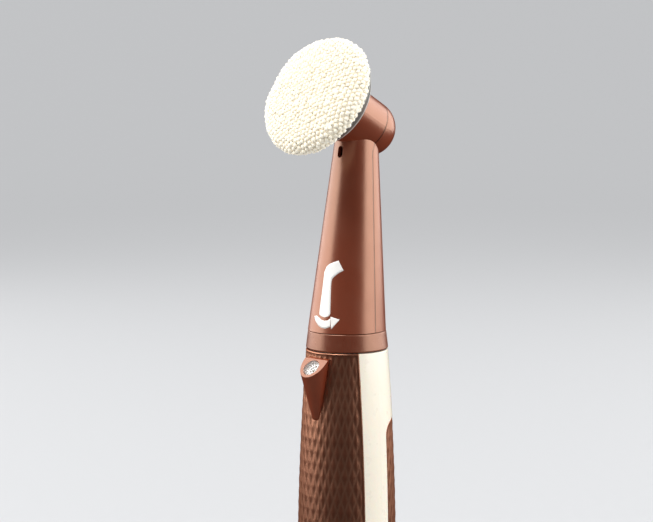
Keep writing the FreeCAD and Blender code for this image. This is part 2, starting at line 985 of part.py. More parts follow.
def indicator_lens():
    low = board_back + S.board_led_height + S.seat_gap
    inside = handle_radius(indicator_height) - S.shell_wall
    top = handle_radius(indicator_height) + S.indicator_proud
    rod = S.indicator_radius
    collar = inside - S.free_gap
    return turned([
        (0, low),
        (rod, low),
        (rod, collar - S.indicator_collar),
        (rod + S.indicator_collar, collar - S.indicator_collar),
        (rod + S.indicator_collar, collar),
        (rod, collar),
        (rod, top - S.indicator_proud),
        (0, top),
    ], INDICATOR)


# ---- Power button ----


def button_bezel():
    tube = ring(button_hole + S.seat_gap, bezel_outer, as_size(0), as_size(LARGE), BUTTON)
    return cut(common(tube, bezel_outside), grip_inside)


def power_button():
    crown = handle_radius(S.button_height) + S.button_proud
    edge = crown - S.button_crown
    flange = S.button_radius + S.button_flange_width
    inside = handle_radius(S.button_height) - S.shell_wall
    flange_top = root(inside * inside - flange * flange) - S.free_gap
    flange_low = flange_top - S.button_flange_depth
    rim = S.button_radius - S.button_round
    stem_end = plunger_top + S.button_travel + S.free_gap
    return turned([
        (0, stem_end),
        (S.button_stem_radius, stem_end),
        (S.button_stem_radius, flange_low),
        (flange, flange_low),
        (flange, flange_top),
        (S.button_radius, flange_top),
        (S.button_radius, edge - S.button_round),
        (rim, edge, S.button_round),
        (0, crown, sweep_radius(rim, S.button_crown)),
    ], BUTTON)


# ---- Lamp ----


def lamp_housing():
    body = pod_form(as_size(0))
    seat = S.lens_radius + S.seat_gap
    lens_floor = -S.lens_thickness - S.seat_gap
    reflector_floor = lens_floor - S.reflector_depth - S.seat_gap
    led_floor = reflector_floor - S.lamp_led_length / 2
    room = turned([
        (0, led_floor),
        (S.lamp_led_radius + S.seat_gap, led_floor),
        (S.lamp_led_radius + S.seat_gap, reflector_floor),
        (S.reflector_radius + S.seat_gap, reflector_floor),
        (S.reflector_radius + S.seat_gap, lens_floor),
        (seat, lens_floor),
        (seat, 0),
        (LARGE, 0),
        (LARGE, LARGE),
        (0, LARGE),
    ], LAMP)
    # The shell behind the pod is so nearly conical that a cone beds it, a little proud of it.
    low = pod_height - 2 * S.pod_tip_radius
    inset = S.grip_thickness - 2 * S.seat_gap
    bed = cone(handle_radius(low) - inset, handle_radius(pod_top) - inset, low, pod_top)
    return cut(body, room, bed)


def lamp_lens():
    low = -S.lens_thickness
    crown = sweep_radius(S.lens_radius, S.lens_crown)
    return turned([
        (0, low),
        (S.lens_radius, low),
        (S.lens_radius, 0),
        (0, S.lens_crown, crown),
    ], LAMP)


def lamp_reflector():
    top = -S.lens_thickness - 2 * S.seat_gap
    low = top - S.reflector_depth
    wide = S.reflector_radius - S.running_gap
    return turned([
        (S.reflector_throat, low),
        (S.reflector_radius, low),
        (S.reflector_radius, top),
        (wide, top),
    ], LAMP)


def lamp_led():
    top = -S.lens_thickness - S.seat_gap - S.reflector_depth + S.lamp_led_length / 2
    low = top - S.lamp_led_length
    radius = S.lamp_led_radius
    return turned([
        (0, low),
        (radius, low),
        (radius, top - radius),
        (0, top, radius),
    ], LAMP)


# ---- The attachment's form: a leaning neck and an angled head ----

collar_low = S.handle_height + S.collar_gap
collar_top = collar_low + S.collar_height
neck_low = collar_top + S.neck_seam
neck_top = neck_low + S.neck_length
shaft_root = S.handle_height + S.shaft_root_rise
sleeve_top = collar_top + S.sleeve_height

HEAD = Frame(90 - S.head_tilt, S.neck_lean + S.head_setback, neck_top + S.head_rise)
apex_y, apex_z = HEAD.side_point(as_size(0), S.apex_reach)
shaft_lean = arctangent(apex_y / (apex_z - shaft_root))
SHAFT = Frame(-shaft_lean, 0, shaft_root)
shaft_to_apex = root(apex_y * apex_y + (apex_z - shaft_root) * (apex_z - shaft_root))

neck_slant = root(S.neck_lean * S.neck_lean + S.neck_length * S.neck_length)
NECK = Frame(-arctangent(S.neck_lean / S.neck_length), 0, neck_low)


def neck_share(height):
    return (height - neck_low) / S.neck_length


def neck_radius(height):
    """Outer radius of the neck at a height."""
    return S.neck_base_radius - (S.neck_base_radius - S.neck_top_radius) * neck_share(height)


def neck_centre(height):
    """How far the neck's centre has leant back at a height."""
    return S.neck_lean * neck_share(height)


def along_shaft(height):
    """Distance along the tilted shaft, from its root, of a height."""
    return (height - shaft_root) / cosine(shaft_lean)


def neck_form(inset, low):
    """The neck's solid form, a leaning cone moved in by an inset, above a height."""
    start = -S.neck_base_radius
    taper = (S.neck_base_radius - S.neck_top_radius) / neck_slant
    low_radius = S.neck_base_radius - inset - taper * start
    leaning = cone(low_radius, S.neck_top_radius - inset, start, neck_slant, NECK)
    return common(leaning, block((-LARGE, LARGE), (-LARGE, LARGE), (low, low + 2 * LARGE)))


attachment_outside = fuse(
    neck_form(as_size(0), neck_low),
    sphere(S.head_radius, HEAD),
    turned([
        (0, 0),
        (S.head_radius, 0),
        (S.head_radius, S.head_length - S.edge_round),
        (S.head_radius - S.edge_round, S.head_length, S.edge_round),
        (0, S.head_length),
    ], HEAD),
)
head_inside = S.head_radius - S.head_wall
attachment_cavity = fuse(
    neck_form(S.neck_wall, neck_low),
    sphere(head_inside, HEAD),
    cylinder(head_inside, as_size(0), S.head_length - S.head_front, HEAD),
)

# The shells part along a line up the neck's side and then across the head.
knee_y, knee_z = HEAD.side_point(-S.head_radius, S.head_seam)
crest_y, crest_z = HEAD.side_point(as_size(LARGE), S.head_seam)
front_of_seam = side_prism([
    (-LARGE, S.handle_height),
    (0, S.handle_height),
    (0, neck_low),
    (knee_y, knee_z),
    (crest_y, crest_z),
    (-LARGE, crest_z),
])

lower_rib_top = sleeve_top - S.seat_gap
upper_plate_low = neck_top - S.upper_plate_drop - S.plate_thickness
upper_rib_top = upper_plate_low - S.seat_gap


def neck_rib(inner, top, centre):
    """A rib inside the neck, from an inner radius out into the wall."""
    outer = neck_radius(top) - S.neck_wall / 2
    return put(ring(inner, outer, top - S.rib_height, top), UPRIGHT, y=centre)


upper_rib_inner = neck_radius(upper_rib_top) - S.neck_wall - S.upper_rib_inset
shell_bodies = fuse(
    cut(attachment_outside, attachment_cavity),
    neck_rib(S.sleeve_outer + S.plate_gap, lower_rib_top, 0),
    neck_rib(upper_rib_inner, upper_rib_top, neck_centre(upper_rib_top)),
)


def neck_front_shell():
    bore = cylinder(S.front_bush_radius + S.seat_gap, as_size(0), as_size(LARGE), HEAD)
    return cut(common(shell_bodies, front_of_seam), bore, *drain_slot())


def drain_slot():
    """The tools of an upright slot with round ends, through the neck's front wall."""
    height = neck_top - S.drain_slot_drop
    face = Frame(FORWARD, neck_centre(height), height)
    half = S.drain_slot_width / 2
    reach = S.drain_slot_length / 2 - half
    ends = [cylinder(half, as_size(0), as_size(LARGE), face, y=side * reach) for side in (-1, 1)]
    return [*ends, block((-half, half), (-reach, reach), (0, LARGE), face)]


def neck_back_shell():
    boss = common(
        cylinder(S.rear_boss_radius, -S.head_radius, -S.rear_bush_end, HEAD),
        sphere(S.head_radius, HEAD),
    )
    socket_end = -S.rear_bush_end - S.rear_bush_length - S.seat_gap
    bore = cylinder(S.rear_bush_radius + S.seat_gap, socket_end, as_size(0), HEAD)
    return cut(fuse(cut(shell_bodies, front_of_seam), boss), bore)


def front_spindle_bush():
    high = S.head_length - S.seal_length - 2 * S.seat_gap
    low = S.head_length - S.head_front - S.edge_round
    return ring(S.spindle_radius + S.running_gap, S.front_bush_radius, low, high, HEAD)


def rear_spindle_bush():
    low = -S.rear_bush_end - S.rear_bush_length
    return ring(
        S.spindle_radius + S.running_gap, S.rear_bush_radius, low, -S.rear_bush_end, HEAD
    )


def spindle_seal():
    high = S.head_length - S.seat_gap
    return ring(
        S.spindle_radius + S.seal_gap, S.front_bush_radius, high - S.seal_length, high, HEAD
    )


def bearing_plate(low, hole):
    """A round plate across the neck, bored along the tilted shaft for its bush."""
    high = low + S.plate_thickness
    rim = neck_radius(high) - S.neck_wall - S.plate_gap
    disc = cylinder(rim - (neck_centre(high) - neck_centre(low)), low, high, y=neck_centre(high))
    bore = cylinder(hole, as_size(0), shaft_to_apex, SHAFT)
    return cut(disc, bore)


def shaft_bush(plate_low):
    middle = along_shaft(plate_low + S.plate_thickness / 2)
    half = S.bush_length / 2
    return ring(S.shaft_radius + S.running_gap, S.bush_radius, middle - half, middle + half, SHAFT)


def screw_ring(radius, low, high):
    """Three cylinders evenly around the collar's screw circle."""
    rods = []
    for turn in thirds():
        x = S.collar_screw_circle * sine(turn)
        y = S.collar_screw_circle * cosine(turn)
        rods.append(cylinder(radius, low, high, x=x, y=y))
    return rods


def lower_bearing_plate():
    disc = bearing_plate(sleeve_top, S.bush_radius + S.seat_gap)
    low = sleeve_top - OVERSHOOT
    high = sleeve_top + S.plate_thickness + OVERSHOOT
    return cut(disc, *screw_ring(S.collar_screw_radius + S.seat_gap, low, high))


def upper_bearing_plate():
    return bearing_plate(upper_plate_low, S.bush_radius + S.seat_gap)


def lower_shaft_bush():
    return shaft_bush(sleeve_top)


def upper_shaft_bush():
    return shaft_bush(upper_plate_low)


def collar_ring():
    bore = S.spigot_outer + S.free_gap
    ledge = S.handle_height + S.spigot_rise + S.free_gap
    top_radius = S.neck_base_radius + S.collar_lip
    sleeve_end = sleeve_top - S.seat_gap
    body = turned([
        (bore, collar_low),
        (S.top_radius - S.edge_round, collar_low),
        (S.top_radius, collar_low + S.edge_round, S.edge_round),
        (top_radius, collar_top - S.edge_round),
        (top_radius - S.edge_round, collar_top, S.edge_round),
        (S.sleeve_outer, collar_top),
        (S.sleeve_outer, sleeve_end),
        (S.sleeve_inner, sleeve_end),
        (S.sleeve_inner, ledge),
        (bore, ledge),
    ])
    lug_low = S.handle_height + S.lug_rise
    lugs = [
        sector(
            bore - S.lug_depth,
            bore + S.edge_round,
            turn - S.lug_sweep / 2,
            S.lug_sweep,
            lug_low,
            lug_low + S.lug_height,
        )
        for turn in thirds()
    ]
    holes = screw_ring(
        S.collar_screw_radius + S.seat_gap,
        sleeve_top - S.collar_screw_depth - S.free_gap,
        sleeve_top + OVERSHOOT,
    )
    return cut(fuse(body, *lugs), *holes)


def collar_screws():
    seat = sleeve_top + S.plate_thickness
    shanks = screw_ring(S.collar_screw_radius, sleeve_top - S.collar_screw_depth, seat)
    heads = screw_ring(S.collar_screw_head, seat, seat + S.collar_screw_head_height)
    return group(*[fuse(shank, head) for shank, head in zip(shanks, heads)])


# ---- Dog coupling, which the twist joins and parts ----


def dogs(starts, low, high, frame):
    """A pair of opposite claws on a coupling half."""
    return [
        sector(S.dog_inner, S.coupling_radius, as_size(start), S.dog_sweep, low, high, frame)
        for start in starts
    ]


def motor_coupling():
    top = shaft_root - S.dog_reach - S.dog_end_gap
    low = top - S.coupling_hub_length
    hub = ring(S.motor_shaft_radius + S.seat_gap, S.coupling_radius, low, top)
    half = S.dog_sweep / 2
    tips = shaft_root + S.dog_reach - S.dog_end_gap
    return fuse(hub, *dogs((90 - half, 270 - half), top - OVERSHOOT, tips, UPRIGHT))


def shaft_coupling():
    inner = S.shaft_radius + S.seat_gap
    hub = ring(inner, S.coupling_radius, S.dog_reach, S.dog_reach + S.coupling_hub_length, SHAFT)
    half = S.dog_sweep / 2
    claws = dogs((-half, 180 - half), -S.dog_reach, S.dog_reach + OVERSHOOT, SHAFT)
    bore = cylinder(inner, -S.dog_reach, as_size(LARGE), SHAFT)
    return fuse(hub, *[cut(claw, bore) for claw in claws])


# ---- Drive shaft, bevel gears and spindle ----

shaft_angle = 90 - S.head_tilt + shaft_lean
gear_ratio = S.gear_teeth / S.pinion_teeth
pinion_angle = arctangent(sine(shaft_angle) / (gear_ratio + cosine(shaft_angle)))
gear_angle = shaft_angle - pinion_angle
pinion_face = shaft_to_apex - S.cone_outer * cosine(pinion_angle)
gear_face = S.apex_reach - S.cone_outer * cosine(gear_angle)
pinion_front = shaft_to_apex - S.cone_inner * cosine(pinion_angle)


def drive_shaft():
    step = pinion_face - S.pinion_hub_length / 2
    return turned([
        (0, S.dog_reach),
        (S.shaft_radius, S.dog_reach),
        (S.shaft_radius, step),
        (S.shaft_tip_radius, step),
        (S.shaft_tip_radius, pinion_front),
        (0, pinion_front),
    ], SHAFT)


def tooth_profile(teeth, angle):
    """Half a tooth on its back cone, as (radius, half angle, depth below the apex) points."""
    pitch_radius = S.cone_outer.value * math.sin(angle)
    pitch_depth = S.cone_outer.value * math.cos(angle)
    module = 2 * pitch_radius / teeth
    virtual_radius = pitch_radius / math.cos(angle)
    pressure = math.radians(S.pressure_angle.value)
    base_radius = virtual_radius * math.cos(pressure)
    half_pitch_tooth = (math.pi * module / 2 - S.tooth_thinning.value) / 2 / virtual_radius
    involute_at_pitch = math.tan(pressure) - pressure
    points = []
    for step in range(FLANK_STEPS + 1):
        share = step / FLANK_STEPS
        rise = share * S.tooth_addendum.value - (1 - share) * S.tooth_dedendum.value
        radius = virtual_radius + rise
        roll = math.acos(min(base_radius / radius, 1))
        half_angle = half_pitch_tooth + involute_at_pitch - (math.tan(roll) - roll)
        points.append((
            pitch_radius + rise * math.cos(angle),
            half_angle / math.cos(angle),
            pitch_depth - rise * math.sin(angle),
        ))
    return points


def tooth(points, turn, near, far):
    """One tooth between two planes across the axis, all its edges running to the apex."""
    flanks = [(radius, -half, depth) for radius, half, depth in points]
    flanks += [(radius, half, depth) for radius, half, depth in reversed(points)]
    wires = []
    for level in (near, far):
        corners = []
        for radius, half, depth in flanks:
            reach = radius * level / depth
            corners.append(Vector(
                reach * math.cos(turn + half), reach * math.sin(turn + half), -level
            ))
        wires.append(Part.makePolygon(corners + corners[:1]))
    return Part.makeLoft(wires, True, True)


def bevel_wheel(teeth, angle_size, phase, frame, apex_at, back, bore):
    """A bevel wheel with its teeth towards the apex, backed by (radius, length) steps."""
    angle = math.radians(angle_size.value)
    points = tooth_profile(teeth, angle)
    near = S.cone_inner.value * math.cos(angle)
    far = S.cone_outer.value * math.cos(angle)
    root_slope = (points[0][0] + S.seat_gap.value) / points[0][2]
    shape = Part.makeCone(far * root_slope, near * root_slope, far - near, Vector(0, 0, -far))
    depth = far
    for radius, length in back:
        depth += length.value
        step = Part.makeCylinder(radius.value, length.value, Vector(0, 0, -depth))
        shape = shape.fuse(step)
    pitch = 2 * math.pi / teeth
    shape = shape.multiFuse([
        tooth(points, phase + index * pitch, near, far) for index in range(teeth)
    ])
    hole = Part.makeCylinder(bore.value, depth + OVERSHOOT, Vector(0, 0, -depth - OVERSHOOT))
    wheel = doc.addObject("Part::Feature", "Wheel")
    wheel.Shape = shape.cut(hole).removeSplitter()
    y, z = frame.side_point(as_size(0), apex_at)
    turn = FreeCAD.Rotation(Vector(1, 0, 0), frame.angle.value)
    wheel.Placement = FreeCAD.Placement(Vector(0, y.value, z.value), turn)
    return wheel


def bevel_pinion():
    back = [(S.pinion_hub_radius, S.pinion_hub_length)]
    bore = S.shaft_tip_radius + S.seat_gap
    wheel = bevel_wheel(
        int(S.pinion_teeth.value), pinion_angle, math.pi / 2, SHAFT, shaft_to_apex, back, bore
    )
    step = pinion_face - S.pinion_hub_length / 2
    return cut(wheel, cylinder(S.shaft_radius + S.seat_gap, as_size(0), step + S.seat_gap, SHAFT))


def bevel_gear():
    teeth = int(S.gear_teeth.value)
    back = [
        (S.gear_disc_radius, S.gear_disc_thickness),
        (S.gear_hub_radius, S.gear_hub_length),
    ]
    bore = S.spindle_radius + S.seat_gap
    phase = -math.pi / 2 + math.pi / teeth
    return bevel_wheel(teeth, gear_angle, phase, HEAD, S.apex_reach, back, bore)


spindle_low = -S.rear_bush_end - S.rear_bush_length + S.free_gap
spindle_high = S.plate_face - S.plate_wall - S.seat_gap
clip_top = S.head_length - S.head_front - S.edge_round - S.free_gap
clip_low = clip_top - S.clip_thickness


def spindle():
    bed = S.spindle_radius - S.clip_groove
    return turned([
        (0, spindle_low),
        (S.spindle_radius, spindle_low),
        (S.spindle_radius, clip_low - S.seat_gap),
        (bed, clip_low - S.seat_gap),
        (bed, clip_top + S.seat_gap),
        (S.spindle_radius, clip_top + S.seat_gap),
        (S.spindle_radius, spindle_high),
        (0, spindle_high),
    ], HEAD)


def spindle_clip():
    inner = S.spindle_radius - S.clip_groove + S.seat_gap
    loop = ring(inner, S.clip_radius, clip_low, clip_top, HEAD)
    mouth = block((-inner, inner), (0, LARGE), (clip_low - OVERSHOOT, clip_top + OVERSHOOT), HEAD)
    return cut(loop, mouth)


# ---- Brush ----


def brush_plate():
    inner = S.spindle_radius + S.seat_gap
    back = S.plate_face - S.plate_wall
    rim_low = S.plate_face - S.plate_rim_height
    skirt_slope = (S.plate_rim_radius - S.plate_skirt_radius) / (rim_low - S.plate_skirt_start)
    rim_inside = S.plate_skirt_radius - S.plate_wall + skirt_slope * (back - S.plate_skirt_start)
    return turned([
        (inner, S.plate_hub_start),
        (S.plate_hub_radius, S.plate_hub_start),
        (S.plate_hub_radius, back),
        (rim_inside, back),
        (S.plate_skirt_radius - S.plate_wall, S.plate_skirt_start),
        (S.plate_skirt_radius, S.plate_skirt_start),
        (S.plate_rim_radius, rim_low),
        (S.plate_rim_radius, S.plate_face, S.plate_rim_round),
        (0, S.plate_face),
        (0, back),
        (inner, back),
    ], HEAD)


def hook_disc():
    return cylinder(S.hook_radius, S.plate_face, S.plate_face + S.hook_thickness, HEAD)


def cleansing_pad():
    back = S.plate_face + S.hook_thickness
    pocket = S.plate_rim_radius + S.plate_rim_round + S.pad_rim_gap
    crown = S.pad_crown
    shoulder_radius = S.pad_radius - S.pad_shoulder_width
    shoulder = crown - S.pad_shoulder_drop
    return turned([
        (0, back),
        (pocket, back),
        (pocket, S.pad_hem),
        (S.pad_hem_radius, S.pad_hem),
        (S.pad_radius, S.pad_widest, S.pad_side_round),
        (shoulder_radius, shoulder, S.pad_shoulder_round),
        (0, crown, sweep_radius(shoulder_radius, S.pad_shoulder_drop)),
    ], HEAD)


SUB_PARTS = (
    housing_left,
    housing_right,
    front_grip,
    back_grip,
    base_cap,
    base_gasket,
    base_screws,
    coil_bobbin,
    charging_coil,
    chassis,
    battery,
    battery_tabs,
    main_board,
    board_components,
    tact_switch,
    indicator_led,
    indicator_lens,
    button_bezel,
    power_button,
    motor_can,
    motor_mount,
    motor_screws,
    motor_shaft,
    motor_coupling,
    bayonet_spigot,
    collar_seal,
    lamp_housing,
    lamp_lens,
    lamp_reflector,
    lamp_led,
    collar_ring,
    collar_screws,
    neck_front_shell,
    neck_back_shell,
    lower_bearing_plate,
    upper_bearing_plate,
    lower_shaft_bush,
    upper_shaft_bush,
    front_spindle_bush,
    rear_spindle_bush,
    spindle_seal,
    shaft_coupling,
    drive_shaft,
    bevel_pinion,
    spindle,
    bevel_gear,
    spindle_clip,
    brush_plate,
    hook_disc,
    cleansing_pad,
)


def build_all():
    """Make each sub-part from the function that carries its name."""
    made = []
    for make in SUB_PARTS:
        part = make()
        part.Label = make.__name__
        made.append(part)
    doc.recompute()
    return made


def check_all(made):
    """Stop if any object failed to build, or any sub-part has no sound shape."""
    failed = [thing.Label for thing in doc.Objects if {"Invalid", "Error"} & set(thing.State)]
    unsound = [part.Label for part in made if not is_sound(part.Shape)]
    if failed or unsound:
        raise RuntimeError(f"not built: {failed}; not sound: {unsound}")


def is_sound(shape):
    return not shape.isNull() and shape.isValid() and len(shape.Solids) > 0


sub_parts = build_all()
check_all(sub_parts)
os.makedirs("parts", exist_ok=True)
for sub_part in sub_parts:
    sub_part.Shape.exportStep(f"parts/{sub_part.Label}.step")
    print(sub_part.Label, len(sub_part.Shape.Solids), round(sub_part.Shape.Volume, 2))
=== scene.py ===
import json
import math
import random

import bmesh
import bpy
import numpy as np
from mathutils import Matrix, Vector
from mathutils.bvhtree import BVHTree


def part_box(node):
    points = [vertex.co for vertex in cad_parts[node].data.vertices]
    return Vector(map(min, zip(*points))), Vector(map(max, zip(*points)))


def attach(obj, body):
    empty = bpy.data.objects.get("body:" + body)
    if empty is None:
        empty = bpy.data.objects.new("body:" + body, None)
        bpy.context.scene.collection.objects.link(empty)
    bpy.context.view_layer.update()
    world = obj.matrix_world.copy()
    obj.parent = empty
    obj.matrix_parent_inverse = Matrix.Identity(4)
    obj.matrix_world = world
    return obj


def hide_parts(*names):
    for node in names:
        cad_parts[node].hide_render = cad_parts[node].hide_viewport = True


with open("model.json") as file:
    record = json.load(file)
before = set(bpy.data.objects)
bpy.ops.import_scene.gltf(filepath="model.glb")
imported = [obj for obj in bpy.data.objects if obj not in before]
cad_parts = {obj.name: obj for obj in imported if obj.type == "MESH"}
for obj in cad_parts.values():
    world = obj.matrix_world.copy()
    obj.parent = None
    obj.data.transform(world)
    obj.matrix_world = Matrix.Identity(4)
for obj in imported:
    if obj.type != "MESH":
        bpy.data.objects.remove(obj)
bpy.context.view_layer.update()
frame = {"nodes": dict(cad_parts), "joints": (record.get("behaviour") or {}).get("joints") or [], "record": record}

MM = 0.001
UP = Vector((0, 0, 1))
CAD = frame["nodes"]
SPIN = next(joint for joint in frame["joints"] if joint["name"] == "pad_spin")
HEAD = Vector(SPIN["pos_m"])
FACING = Vector(SPIN["axis"]).normalized()
HEAD_UP = FACING.cross(Vector((1, 0, 0)))
UPWARD = HEAD_UP.normalized()
SIDEWAYS = FACING.cross(UPWARD).normalized()
HEAD_RADIUS = 10.7 * MM
HEAD_SEAM = 1.3 * MM
OUTSIDE = 50 * MM


# ---- Camera ----

SENSOR_WIDTH = 36
IMAGE_WIDTH = 653
FOCAL_PIXELS = 1852
CAMERA_AZIMUTH = math.radians(44.5)
CAMERA_PITCH = math.radians(6.1)
CAMERA_REACH = 0.692
CAMERA_HEIGHT = 0.232
CAMERA_SIDESTEP = -0.00775
TOWARDS_CAMERA = Vector((math.sin(CAMERA_AZIMUTH), -math.cos(CAMERA_AZIMUTH), 0))
TO_THE_RIGHT = Vector((math.cos(CAMERA_AZIMUTH), math.sin(CAMERA_AZIMUTH), 0))


def make_camera():
    camera = bpy.data.objects.new("camera", bpy.data.cameras.new("camera"))
    bpy.context.scene.collection.objects.link(camera)
    camera.data.sensor_width = SENSOR_WIDTH
    camera.data.lens = SENSOR_WIDTH * FOCAL_PIXELS / IMAGE_WIDTH
    camera.data.clip_start = 0.01
    camera.location = TOWARDS_CAMERA * CAMERA_REACH + TO_THE_RIGHT * CAMERA_SIDESTEP + UP * CAMERA_HEIGHT
    forward = -TOWARDS_CAMERA * math.cos(CAMERA_PITCH) - UP * math.sin(CAMERA_PITCH)
    camera.rotation_mode = "QUATERNION"
    camera.rotation_quaternion = forward.to_track_quat("-Z", "Y")
    bpy.context.scene.camera = camera


# ---- Materials ----


class Finish:
    """A material whose shader is fed by procedural textures in object coordinates."""

    def __init__(self, name, **constants):
        self.material = bpy.data.materials.new(name)
        self.material.use_nodes = True
        self.tree = self.material.node_tree
        self.shader = next(n for n in self.tree.nodes if n.type == "BSDF_PRINCIPLED")
        for socket, value in constants.items():
            self.shader.inputs[socket.replace("_", " ")].default_value = value
        self.place = self.add("TexCoord").outputs["Object"]

    def add(self, kind, **settings):
        node = self.tree.nodes.new("ShaderNode" + kind)
        for name, value in settings.items():
            setattr(node, name, value)
        return node

    def feed(self, socket, source):
        if isinstance(source, bpy.types.NodeSocket):
            self.tree.links.new(source, socket)
        else:
            socket.default_value = source

    def stretched(self, stretch):
        node = self.add("Mapping")
        self.feed(node.inputs["Vector"], self.place)
        node.inputs["Scale"].default_value = stretch
        return node.outputs["Vector"]

    def noise(self, size, detail=3.0, stretch=None):
        """Cloudy texture whose features are about one size across."""
        node = self.add("TexNoise")
        self.feed(node.inputs["Vector"], self.stretched(stretch) if stretch else self.place)
        node.inputs["Scale"].default_value = 0.6 / size
        node.inputs["Detail"].default_value = detail
        node.inputs["Roughness"].default_value = 0.55
        return node.outputs["Fac"]

    def cells(self, size, feature="F1", output="Distance"):
        """Crystal-like cells about one size across."""
        node = self.add("TexVoronoi", feature=feature)
        self.feed(node.inputs["Vector"], self.place)
        node.inputs["Scale"].default_value = 1 / size
        return node.outputs[output]

    def bands(self, size):
        """Level bands, one to each size of height."""
        node = self.add("TexWave", bands_direction="Z")
        self.feed(node.inputs["Vector"], self.place)
        node.inputs["Scale"].default_value = 0.05 * 2 * math.pi / size
        return node.outputs["Fac"]

    def spread(self, source, low, high, start=0.3, end=0.7):
        """Values between low and high, as the source goes from start to end."""
        node = self.add("MapRange")
        self.feed(node.inputs["Value"], source)
        node.inputs["From Min"].default_value = start
        node.inputs["From Max"].default_value = end
        node.inputs["To Min"].default_value = low
        node.inputs["To Max"].default_value = high
        return node.outputs["Result"]

    def sum(self, first, second, operation="ADD"):
        node = self.add("Math", operation=operation)
        self.feed(node.inputs[0], first)
        self.feed(node.inputs[1], second)
        return node.outputs[0]

    def beyond(self, point, direction):
        """How far a place lies past a plane."""
        offset = self.add("VectorMath", operation="SUBTRACT")
        self.feed(offset.inputs[0], self.place)
        offset.inputs[1].default_value = point
        along = self.add("VectorMath", operation="DOT_PRODUCT")
        self.feed(along.inputs[0], offset.outputs["Vector"])
        along.inputs[1].default_value = direction
        return along.outputs["Value"]

    def blend(self, share, first, second):
        node = self.add("Mix", data_type="RGBA")
        self.feed(node.inputs[0], share)
        for socket, colour in ((node.inputs[6], first), (node.inputs[7], second)):
            self.feed(socket, colour if isinstance(colour, bpy.types.NodeSocket) else (*colour, 1))
        return node.outputs[2]

    def colour(self, source):
        self.feed(self.shader.inputs["Base Color"], source)

    def roughness(self, source):
        self.feed(self.shader.inputs["Roughness"], source)

    def relief(self, *layers):
        """Stacked bumps, each a height texture and its depth in metres."""
        normal = None
        for height, depth in layers:
            node = self.add("Bump")
            self.feed(node.inputs["Height"], height)
            node.inputs["Distance"].default_value = depth
            if normal:
                self.feed(node.inputs["Normal"], normal)
            normal = node.outputs["Normal"]
        self.feed(self.shader.inputs["Normal"], normal)

    def done(self):
        return self.material


def scaled(colour, factor):
    return tuple(min(1.0, part * factor) for part in colour)


def moulded(name, colour, roughness, grain=0.25, depth=0.006, mottle=0.08, **constants):
    """Moulded or sintered stock: faint flow mottling, a fine grain and uneven gloss."""
    look = Finish(name, **constants)
    cloud = look.spread(look.noise(9 * MM, 4), 0, 1)
    look.colour(look.blend(cloud, scaled(colour, 1 - mottle), scaled(colour, 1 + mottle)))
    fine = look.noise(grain * MM, 4)
    look.roughness(look.spread(fine, roughness * 0.85, roughness * 1.15))
    look.relief((fine, depth * MM), (look.noise(3 * MM, 2), 3 * depth * MM))
    return look.done()


def brushed(name, colour, roughness, stretch, line=0.12, depth=0.004, **constants):
    """Metal or lacquer with fine parallel lines along its stretched axis."""
    look = Finish(name, Metallic=constants.pop("Metallic", 1.0), **constants)
    lines = look.noise(line * MM, 5, stretch)
    look.colour(look.blend(look.spread(lines, 0, 1), scaled(colour, 0.86), scaled(colour, 1.1)))
    haze = look.noise(6 * MM, 3)
    gloss = look.spread(haze, roughness - 0.03, roughness + 0.03)
    look.roughness(look.sum(look.spread(lines, -0.06, 0.06), gloss))
    look.relief((lines, depth * MM))
    return look.done()


def bronze_paint(name, colour, roughness, streak=None, seam=False, ior=1.95, tint=(1.0, 0.62, 0.44, 1)):
    """Satin bronze lacquer: a deep red-brown pigment with flakes whose glints are painted lighter, and a slight
    orange peel.
    """
    look = Finish(
        name, IOR=ior, Specular_IOR_Level=1.0, Specular_Tint=tint,
        Coat_Weight=0.04, Coat_Roughness=0.36,
    )
    flakes = look.cells(0.1 * MM, output="Color")
    flake = look.add("SeparateColor")
    look.feed(flake.inputs[0], flakes)
    # Painted glint: the flake specks are painted lighter than the paint, standing in for their sparkle.
    glint = look.spread(flake.outputs[0], 0, 0.35, 0.2, 1)
    cloud = look.spread(look.noise(14 * MM, 3), 0, 1)
    paint = look.blend(cloud, scaled(colour, 0.93), scaled(colour, 1.06))
    paint = look.blend(glint, paint, scaled(colour, 1.9))
    peel = look.noise(0.55 * MM, 2)
    gloss = look.spread(look.noise(4 * MM, 4), roughness - 0.03, roughness + 0.03)
    layers = [(peel, 0.006 * MM), (flake.outputs[1], 0.0012 * MM)]
    if streak:
        lines = look.noise(0.16 * MM, 5, streak)
        gloss = look.sum(gloss, look.spread(lines, -0.07, 0.07))
        layers.append((lines, 0.005 * MM))
    # Painted shade: the paint darkens in the grooves between the grip's diamonds, which also get rougher.
    painted_groove_shade = look.add("Attribute", attribute_name="painted_groove_shade").outputs["Fac"]
    paint = look.blend(painted_groove_shade, paint, scaled(colour, 0.3))
    gloss = look.sum(gloss, look.spread(painted_groove_shade, 0, 0.18, 0, 1))
    if seam:
        # Painted shade: the paint darkens to near black along the parting line of the shells, over a shallow sunk
        # groove.
        seam_groove_and_shade = look.spread(neck_seam(look), 1, 0, 0.12 * MM, 0.3 * MM)
        paint = look.blend(seam_groove_and_shade, paint, scaled(colour, 0.1))
        layers.append((look.sum(1.0, seam_groove_and_shade, "SUBTRACT"), 0.14 * MM))
    look.colour(paint)
    look.roughness(gloss)
    look.relief(*layers)
    return look.done()


def neck_seam(look):
    """Distance from the two planes where the halves of the neck and head meet."""
    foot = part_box("neck_back_shell")[0].z
    knee = HEAD + FACING * HEAD_SEAM - HEAD_UP * HEAD_RADIUS
    rise = (knee - UP * foot).normalized()
    behind_neck = look.beyond(UP * foot, Vector((0, rise.z, -rise.y)))
    behind_head = look.beyond(HEAD + FACING * HEAD_SEAM, -FACING)
    return look.sum(look.sum(behind_neck, behind_head, "MINIMUM"), 0.0, "ABSOLUTE")


